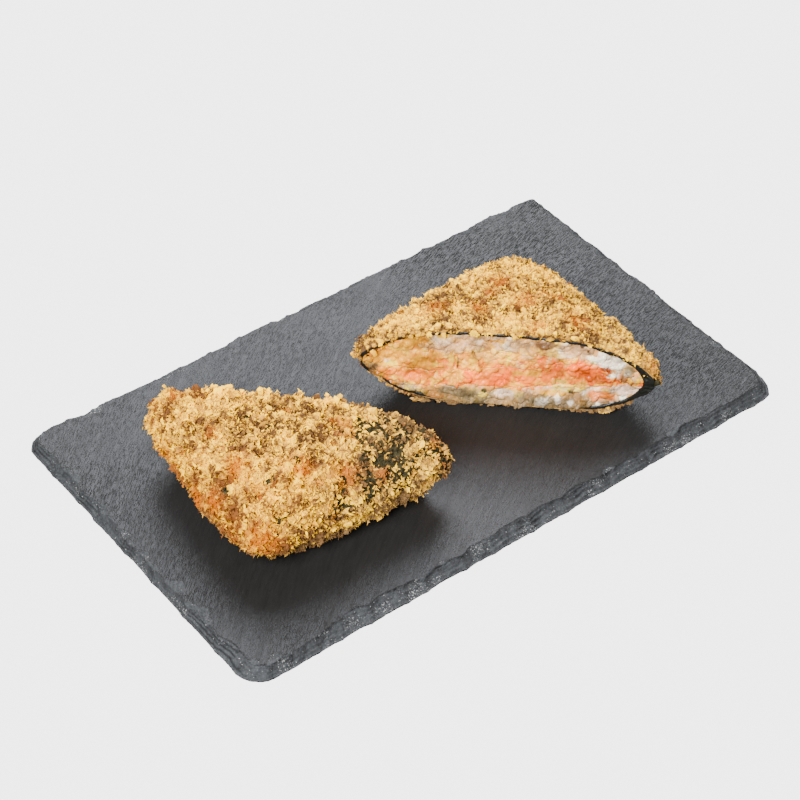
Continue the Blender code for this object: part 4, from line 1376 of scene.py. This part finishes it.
def fried_group(food):
    """Colour of fried crumb: pale, gold, tan and brown along its tone, with orange and damp over them. The
    brown end and the damp colour also carry painted shade.
    """

    def build(shader, given):
        colour = given["Pale"]
        for name, low, high in (("Gold", 0.0, 0.38), ("Tan", 0.38, 0.68), ("Brown", 0.72, 1.05)):
            colour = shader.mix(shader.ramp(given["Tone"], low, high), colour, given[name])
        colour = shader.mix(given["Glow"], colour, given["Orange"])
        dark = shader.mix(0.6, given["Damp"], given["Brown"])
        damp = shader.mix(shader.ramp(given["Tone"], 0.35, 1.0), given["Damp"], dark)
        return shader.mix(shader.times(given["Moist"], 0.85), colour, damp)

    names = ("Pale", "Gold", "Tan", "Brown", "Orange", "Damp")
    colours = {name: (*getattr(food, f"crumb_{name.lower()}"), 1.0) for name in names}
    return shared_group("Fried crumb", "Color", build, Tone=0.4, Glow=0.0, Moist=0.0, **colours)


def new_material(name, **constants):
    """A material with its Principled shader, whose sockets take the constants."""
    made = bpy.data.materials.new(name)
    made.use_nodes = True
    shader = Shader(made.node_tree)
    return made, shader, shader.feed(made.node_tree.nodes["Principled BSDF"], **constants)


def crust_material(food, wrapped):
    """Fried breadcrumb. Wrapped is for the coat itself, which shows dark seaweed where it is bare."""
    made, shader, surface = new_material(
        "fried coat" if wrapped else "fried crumb", Specular_IOR_Level=0.0, Subsurface_Weight=0.05,
        Subsurface_Radius=(1.0, 0.6, 0.3), Subsurface_Scale=0.001,
    )
    vector = shader.place()
    pores = shader.minus(shader.plus(shader.noise(vector, 0.0011), shader.noise(vector, 0.00045)), 1.0)
    tone = shader.plus(shader.attribute("tone"), shader.times(pores, 0.6))
    glow, moist = shader.attribute("glow"), shader.attribute("moist")
    colour = shader.group(fried_group(food), Tone=tone, Glow=glow, Moist=moist)
    if wrapped:
        seaweed = shader.mottled(vector, (*food.seaweed_colour, 1.0), 0.0016, 0.0005, 1.6)
        ragged = shader.times(shader.minus(shader.noise(vector, 0.0013), 0.5), 1.1)
        ragged = shader.plus(shader.attribute("bare"), ragged)
        colour = shader.mix(shader.ramp(ragged, 0.22, 0.46), colour, seaweed)
    normal = shader.bump(shader.grit(vector, 0.0010, 0.0004), 0.0004, 0.8)
    rough = shader.uneven(vector, 0.002, 0.3, 0.48)
    shader.feed(surface, Base_Color=colour, Roughness=rough, Normal=normal)
    return made


def nori_material(food):
    """Seaweed: greenish black, finely crinkled, glossy where it is moist."""
    made, shader, surface = new_material("nori", Specular_IOR_Level=0.3)
    vector = shader.place()
    colour = shader.mottled(vector, (*food.nori_colour, 1.0), 0.0035, 0.0008, 0.9)
    normal = shader.bump(shader.grit(vector, 0.0016, 0.0005), 0.0004, 0.7)
    rough = shader.uneven(vector, 0.003, 0.5, 0.18)
    shader.feed(surface, Base_Color=colour, Roughness=rough, Normal=normal)
    return made


def filling_material(name, scatter, shine):
    """A moist filling whose colour comes with its points, unevenly glossy, letting some light in."""
    made, shader, surface = new_material(
        name, Specular_IOR_Level=0.22, Subsurface_Weight=scatter, Subsurface_Radius=(1.0, 0.6, 0.4),
        Subsurface_Scale=0.0016,
    )
    vector = shader.place()
    colour = shader.mottled(vector, shader.attribute("tint", "Color"), 0.0022, 0.0006, 0.18)
    normal = shader.bump(shader.grit(vector, 0.0012, 0.00045), 0.0003, 0.5)
    rough = shader.uneven(vector, 0.0018, 0.40, shine)
    shader.feed(surface, Base_Color=colour, Roughness=rough, Normal=normal)
    return made


def slate_material(board):
    """Split slate: dark cleft lines along its grain, drifting grey, rougher chips with painted glints on
    their mineral grains, and painted shade where the border meets the flat.
    """
    made, shader, surface = new_material(
        "split slate", Specular_IOR_Level=0.125, Specular_Tint=(0.78, 0.86, 1.0, 1.0)
    )
    slate = np.array(board.slate_colour)
    even = shader.place()
    streaks = shader.stretched(shader.attribute("grain", "Vector"), (0.13, 1.0, 1.0))
    chipped, crease, clear = (shader.attribute(name) for name in ("chipped", "crease", "cleft"))
    base = shader.mottled(streaks, (*slate, 1.0), 0.0040, 0.0010, 0.22)
    cloudy = shader.ramp(shader.noise(even, 0.035), 0.35, 0.7)
    base = shader.mix(shader.times(cloudy, 0.10), base, board.slate_pale)
    lines = shader.noise(streaks, 0.00046, 4.0, 0.62, 0.05)
    pits = shader.times(shader.ramp(shader.noise(even, 0.0012, 2.0, 0.6, 0.4), 0.34, 0.28), 0.6)
    dark = shader.math("MAXIMUM", shader.times(shader.ramp(lines, 0.46, 0.34), clear), pits)
    base = shader.mix(shader.times(dark, 0.3), base, slate * 0.35)
    fresh = shader.mottled(even, (*board.chip_colour, 1.0), 0.0030, 0.0007, 0.8)
    base = shader.mix(shader.times(chipped, 0.9), base, fresh)
    # painted shade where the border meets the flat and on the split layers' risers
    base = shader.mix(shader.times(crease, 0.9), base, slate * 0.2)
    # painted glints: pale specks in the chipped border stand for sparkle off its mineral grains
    cluster = shader.ramp(shader.noise(even, 0.011, 2.0), 0.53, 0.66)
    grains = shader.ramp(shader.noise(even, 0.0005, 2.0), 0.58, 0.70)
    lone = shader.ramp(shader.noise(even, 0.0006, 0.0), 0.80, 0.84)
    glint = shader.math("MAXIMUM", shader.times(grains, cluster), shader.times(lone, 0.8))
    base = shader.mix(shader.times(glint, chipped), base, board.glint_colour)
    coarse = shader.times(chipped, shader.noise(even, 0.0017, 4.0, 0.7))
    height = shader.times(shader.ramp(lines, 0.35, 0.50), shader.times(clear, 0.8))
    height = shader.minus(height, shader.times(pits, 1.2))
    height = shader.plus(height, shader.times(shader.grit(even, 0.0008, 0.0003), 0.7))
    height = shader.plus(height, shader.times(coarse, 3.0))
    rough = shader.plus(shader.uneven(streaks, 0.003, 0.22, 0.34), shader.times(chipped, 0.12))
    shader.feed(surface, Base_Color=base, Roughness=rough, Normal=shader.bump(height, 0.00013, 0.8))
    return made


# Settings


def length_setting(name, description, default):
    """A length in metres."""
    return FloatProperty(
        name=name, description=description, default=default, min=0.0, unit="LENGTH", precision=5
    )


def colour_setting(name, description, *shades):
    """A colour, given as it looks on a screen."""
    return FloatVectorProperty(
        name=name, description=description, default=paint(*shades), size=3, min=0.0, max=1.0, subtype="COLOR"
    )


def count_setting(name, description, default):
    """A whole number of points."""
    return IntProperty(name=name, description=description, default=default, min=8)


def strength_setting(name, description, default, least=0.0):
    """A number without a unit."""
    return FloatProperty(name=name, description=description, default=default, min=least)


class FriedSushiFood(PropertyGroup):
    """How finely both halves are built, and their colours"""

    crust_columns: count_setting("Crust columns", "Places along the cut where the crust is worked out", 300)
    crust_rows: count_setting("Crust rows", "Points over the crust at each place", 190)
    filling_columns: count_setting("Filling columns", "Places along the cut where a layer is worked out", 400)
    filling_rows: count_setting("Filling rows", "Points up a layer's face", 26)
    nori_columns: count_setting("Nori columns", "Places along the cut where the wrap is worked out", 330)
    crumb_pale: colour_setting("Pale crumb", "Crumb that is barely fried", 255, 199, 9)
    crumb_gold: colour_setting("Golden crumb", "Most of the crumb", 224, 168, 16)
    crumb_tan: colour_setting("Tan crumb", "Crumb that is well fried", 177, 128, 42)
    # Brown is reached at the crumbs' feet and on the coat, where it is painted shade in the gaps
    crumb_brown: colour_setting("Brown crumb", "Crumb at the bottom of its gaps", 84, 58, 34)
    crumb_orange: colour_setting("Orange crumb", "Crumb that has taken up oil", 171, 86, 1)
    # The damp colour also lies low on the flanks as painted shade
    crumb_damp: colour_setting("Damp crumb", "Crumb at the foot of the cut", 164, 134, 86)
    nori_colour: colour_setting("Nori", "The seaweed wrap", 18, 18, 14)
    seaweed_colour: colour_setting("Crumbed nori", "Seaweed that shows through thin crumb", 44, 40, 26)


class FriedSushiBoard(PropertyGroup):
    """How finely the board is built, and its colours"""

    edge_points: count_setting("Edge points", "Points round the board's outline", 1000)
    flat_rows: count_setting("Flat rows", "Rows of points from the chipped border to the middle", 42)
    slate_colour: colour_setting("Slate", "The split face", 27, 26, 25)
    slate_pale: colour_setting("Pale slate", "Lighter drifts on the split face", 35, 35, 36)
    chip_colour: colour_setting("Chipped slate", "The broken border", 48, 49, 50)
    # Glints are painted: pale specks that stand for sparkle off the border's mineral grains
    glint_colour: colour_setting("Glints", "Mineral grains in the broken border", 140, 140, 138)


class FriedSushiStage(PropertyGroup):
    """The floor, the lights and the camera"""

    floor_size: length_setting("Floor size", "Side of the floor", 14.0)
    floor_colour: colour_setting("Floor", "The pale floor", 235, 235, 235)
    floor_glow: strength_setting("Floor glow", "How bright the floor is seen", 5.2)
    floor_light: strength_setting("Floor light", "How much light the floor gives", 0.33)
    sky_strength: strength_setting("Sky", "Soft light from all round", 0.66)
    key_power: strength_setting("Key", "Power of the large soft light behind", 90.0)
    fill_power: strength_setting("Fill", "Power of the soft light in front", 111.0)
    camera_lens: strength_setting("Lens", "Focal length in millimetres", CAMERA_LENS, 1.0)


# Operators


def add_piece(name, points, faces, material, slot, node, **options):
    """Makes a piece that rides on the part's body, takes the finish it is given and stands for its CAD node.
    Its slot is not used.
    """
    piece = mesh_object(name, points, faces, material, **options)
    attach(piece, "root")
    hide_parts(node)


class SUSHI_OT_board(Operator):
    """Build the chipped slate board"""

    bl_idname = "sushi.board"
    bl_label = "Slate board"

    def execute(self, context):
        board = context.scene.fried_sushi_board
        rings, marks = board_rings(board)
        add_piece(
            "slate", rings.reshape(-1, 3), outer_faces(*rings.shape[:2]), slate_material(board), "slate",
            "slate_board", attributes=marks, merge=WELD,
        )
        return {"FINISHED"}


class SUSHI_OT_crust(Operator):
    """Build the crust of both halves, with the crumbs and splinters strewn over it"""

    bl_idname = "sushi.crust"
    bl_label = "Crust"

    def execute(self, context):
        food = context.scene.fried_sushi_food
        coat, crumb = crust_material(food, True), crust_material(food, False)
        for half in HALVES:
            rings, ground, bare = crust_rings(half, food)
            marks = {
                # painted shade: the coat under the crumbs takes the dark tone of the crumbs' feet
                "tone": crumb_tone(rings, half) + 0.66,
                "glow": np.clip(crumb_glow(rings, half), 0, 0.9),
                "bare": bare,
                "moist": damp_and_low_shade(rings, half),
            }
            node = f"{half.name}_crust"
            faces = ring_faces(*rings.shape[:2])
            points = set_down(rings, half)
            add_piece(f"{half.name}_coat", points, faces, coat, "crust", node, attributes=marks, merge=WELD)
            for number, (label, kinds) in enumerate(CRUMB_KINDS.items()):
                points, faces, marks = strewn_crumbs(half, kinds, ground, 10 * half.seed + number)
                points = set_down(points, half)
                name = f"{half.name}_{label}"
                add_piece(name, points, [faces], crumb, "crust", node, attributes=marks, smooth=False)
        return {"FINISHED"}


class SUSHI_OT_wrap(Operator):
    """Build the nori wraps"""

    bl_idname = "sushi.wrap"
    bl_label = "Nori wraps"

    def execute(self, context):
        food = context.scene.fried_sushi_food
        material = nori_material(food)
        for half in HALVES:
            rings = nori_rings(half, food)
            faces = ring_faces(*rings.shape[:2])
            points = set_down(rings, half)
            add_piece(f"{half.name}_wrap", points, faces, material, "nori", f"{half.name}_nori", merge=WELD)
        return {"FINISHED"}


class SUSHI_OT_filling(Operator):
    """Build the rice, salmon and cream layers and what lies loose in their cut"""

    bl_idname = "sushi.filling"
    bl_label = "Filling"

    def execute(self, context):
        food = context.scene.fried_sushi_food
        materials = {
            "rice": filling_material("moist rice", 0.22, 0.12),
            "salmon": filling_material("moist salmon", 0.15, 0.10),
            "cream": filling_material("moist cream", 0.15, 0.16),
        }
        for half in HALVES:
            for step, (layer, kind) in enumerate(LAYERS.items(), 1):
                name = f"{half.name}_{layer}"
                finish = (materials[kind.slot], kind.slot, name)
                rings = layer_rings(layer, half, food)
                faces = ring_faces(*rings.shape[:2])
                colours = filling_colour(layer, rings, half).reshape(-1, 3)
                add_piece(f"{name}_layer", set_down(rings, half), faces, *finish, colours=colours, merge=WELD)
                points, faces, colours = bits_in(layer, half, 10 * half.seed + step)
                add_piece(f"{name}_bits", set_down(points, half), [faces], *finish, colours=colours)
        return {"FINISHED"}


class SUSHI_OT_cucumber(Operator):
    """Build the strips of cucumber"""

    bl_idname = "sushi.cucumber"
    bl_label = "Cucumber"

    def execute(self, context):
        material = filling_material("moist cucumber", 0.2, 0.16)
        for half in HALVES:
            for number, strip in enumerate(CUCUMBERS, 1):
                rings = cucumber_rings(strip, half)
                seeds = ease(0.1, 0.5, rough_noise(rings + number, 0.0016, 73))
                colours = blend(filling_colour("rice_base", rings, half), "lemon", 0.55)
                colours = blend(colours, "lime", 0.35 + 0.4 * seeds).reshape(-1, 3)
                faces = ring_faces(*rings.shape[:2])
                if half.turn > 0:
                    faces = [group[:, ::-1] for group in faces]
                name = f"{half.name}_cucumber_strip_{number}"
                node = f"{half.name}_cucumber_{number}"
                add_piece(name, set_down(rings, half), faces, material, "cucumber", node, colours=colours)
        return {"FINISHED"}


class SUSHI_OT_stage(Operator):
    """Set out the pale floor, the soft lights and the camera"""

    bl_idname = "sushi.stage"
    bl_label = "Floor, lights and camera"

    def execute(self, context):
        stage = context.scene.fried_sushi_stage
        self.floor(stage)
        self.lights(context, stage)
        self.camera(context, stage)
        return {"FINISHED"}

    def floor(self, stage):
        """A square just under the board, that is seen brighter than it lights the food."""
        made, shader, surface = new_material(
            "pale floor", Base_Color=(0.0, 0.0, 0.0, 1.0), Roughness=1.0, Specular_IOR_Level=0.0,
            Emission_Color=(*stage.floor_colour, 1.0),
        )
        seen = shader.node("ShaderNodeLightPath").outputs["Is Camera Ray"]
        extra = shader.times(seen, stage.floor_glow - stage.floor_light)
        shader.feed(surface, Emission_Strength=shader.plus(extra, stage.floor_light))
        corners = np.array([[-1, -1, 0], [1, -1, 0], [1, 1, 0], [-1, 1, 0]]) * stage.floor_size / 2
        floor = mesh_object("floor", corners - (0, 0, FLOOR_DROP), [np.array([[0, 1, 2, 3]])], made)

    def lights(self, context, stage):
        """Soft light from all round, a large soft light behind and a smaller one in front."""
        world = bpy.data.worlds.new("soft studio")
        world.use_nodes = True
        background = world.node_tree.nodes["Background"]
        background.inputs["Color"].default_value = (*paint(246, 248, 252), 1.0)
        background.inputs["Strength"].default_value = stage.sky_strength
        context.scene.world = world
        for name, power, size, place in (
            ("key", stage.key_power, KEY_SIZE, KEY_PLACE),
            ("fill", stage.fill_power, FILL_SIZE, FILL_PLACE),
        ):
            light = bpy.data.lights.new(name, "AREA")
            light.energy = power
            light.size = size
            lamp = bpy.data.objects.new(name, light)
            lamp.location = place
            lamp.rotation_euler = Vector(place).to_track_quat("Z", "Y").to_euler()
            context.scene.collection.objects.link(lamp)

    def camera(self, context, stage):
        """The photograph's view: rolled, tipped up, turned, and set back from its target."""
        data = bpy.data.cameras.new("camera")
        data.lens = stage.camera_lens
        data.sensor_width = 36.0
        data.clip_start = 0.01
        camera = bpy.data.objects.new("camera", data)
        turn = Matrix.Rotation(CAMERA_AZIMUTH, 4, "Z")
        turn = turn @ Matrix.Rotation(math.pi / 2 - CAMERA_ELEVATION, 4, "X")
        turn = turn @ Matrix.Rotation(CAMERA_ROLL, 4, "Z")
        back = Matrix.Translation((0, 0, CAMERA_DISTANCE))
        camera.matrix_world = Matrix.Translation(CAMERA_TARGET) @ turn @ back
        context.scene.collection.objects.link(camera)
        context.scene.camera = camera


STEPS = (SUSHI_OT_stage, SUSHI_OT_board, SUSHI_OT_crust, SUSHI_OT_wrap, SUSHI_OT_filling, SUSHI_OT_cucumber)
SETTINGS = {"food": FriedSushiFood, "board": FriedSushiBoard, "stage": FriedSushiStage}


class SUSHI_PT_panel(Panel):
    """Every piece of the sushi sandwich, and its settings"""

    bl_idname = "SUSHI_PT_panel"
    bl_label = "Fried sushi"
    bl_space_type = "VIEW_3D"
    bl_region_type = "UI"
    bl_category = "Fried sushi"

    def draw(self, context):
        layout = self.layout
        for step in STEPS:
            layout.operator(step.bl_idname)
        for label in SETTINGS:
            settings = getattr(context.scene, f"fried_sushi_{label}")
            box = layout.box()
            for name in settings.__annotations__:
                box.prop(settings, name)


CLASSES = (*SETTINGS.values(), *STEPS, SUSHI_PT_panel)


def register():
    """Makes the operators, the panel and the settings known to Blender."""
    for kind in CLASSES:
        bpy.utils.register_class(kind)
    for label, kind in SETTINGS.items():
        setattr(bpy.types.Scene, f"fried_sushi_{label}", PointerProperty(type=kind))


def unregister():
    """Takes back what register did, in the opposite order."""
    for label in SETTINGS:
        delattr(bpy.types.Scene, f"fried_sushi_{label}")
    for kind in reversed(CLASSES):
        bpy.utils.unregister_class(kind)


def main():
    """Builds every piece."""
    register()
    for step in STEPS:
        group, name = step.bl_idname.split(".")
        getattr(getattr(bpy.ops, group), name)()


if __name__ == "__main__":
    main()
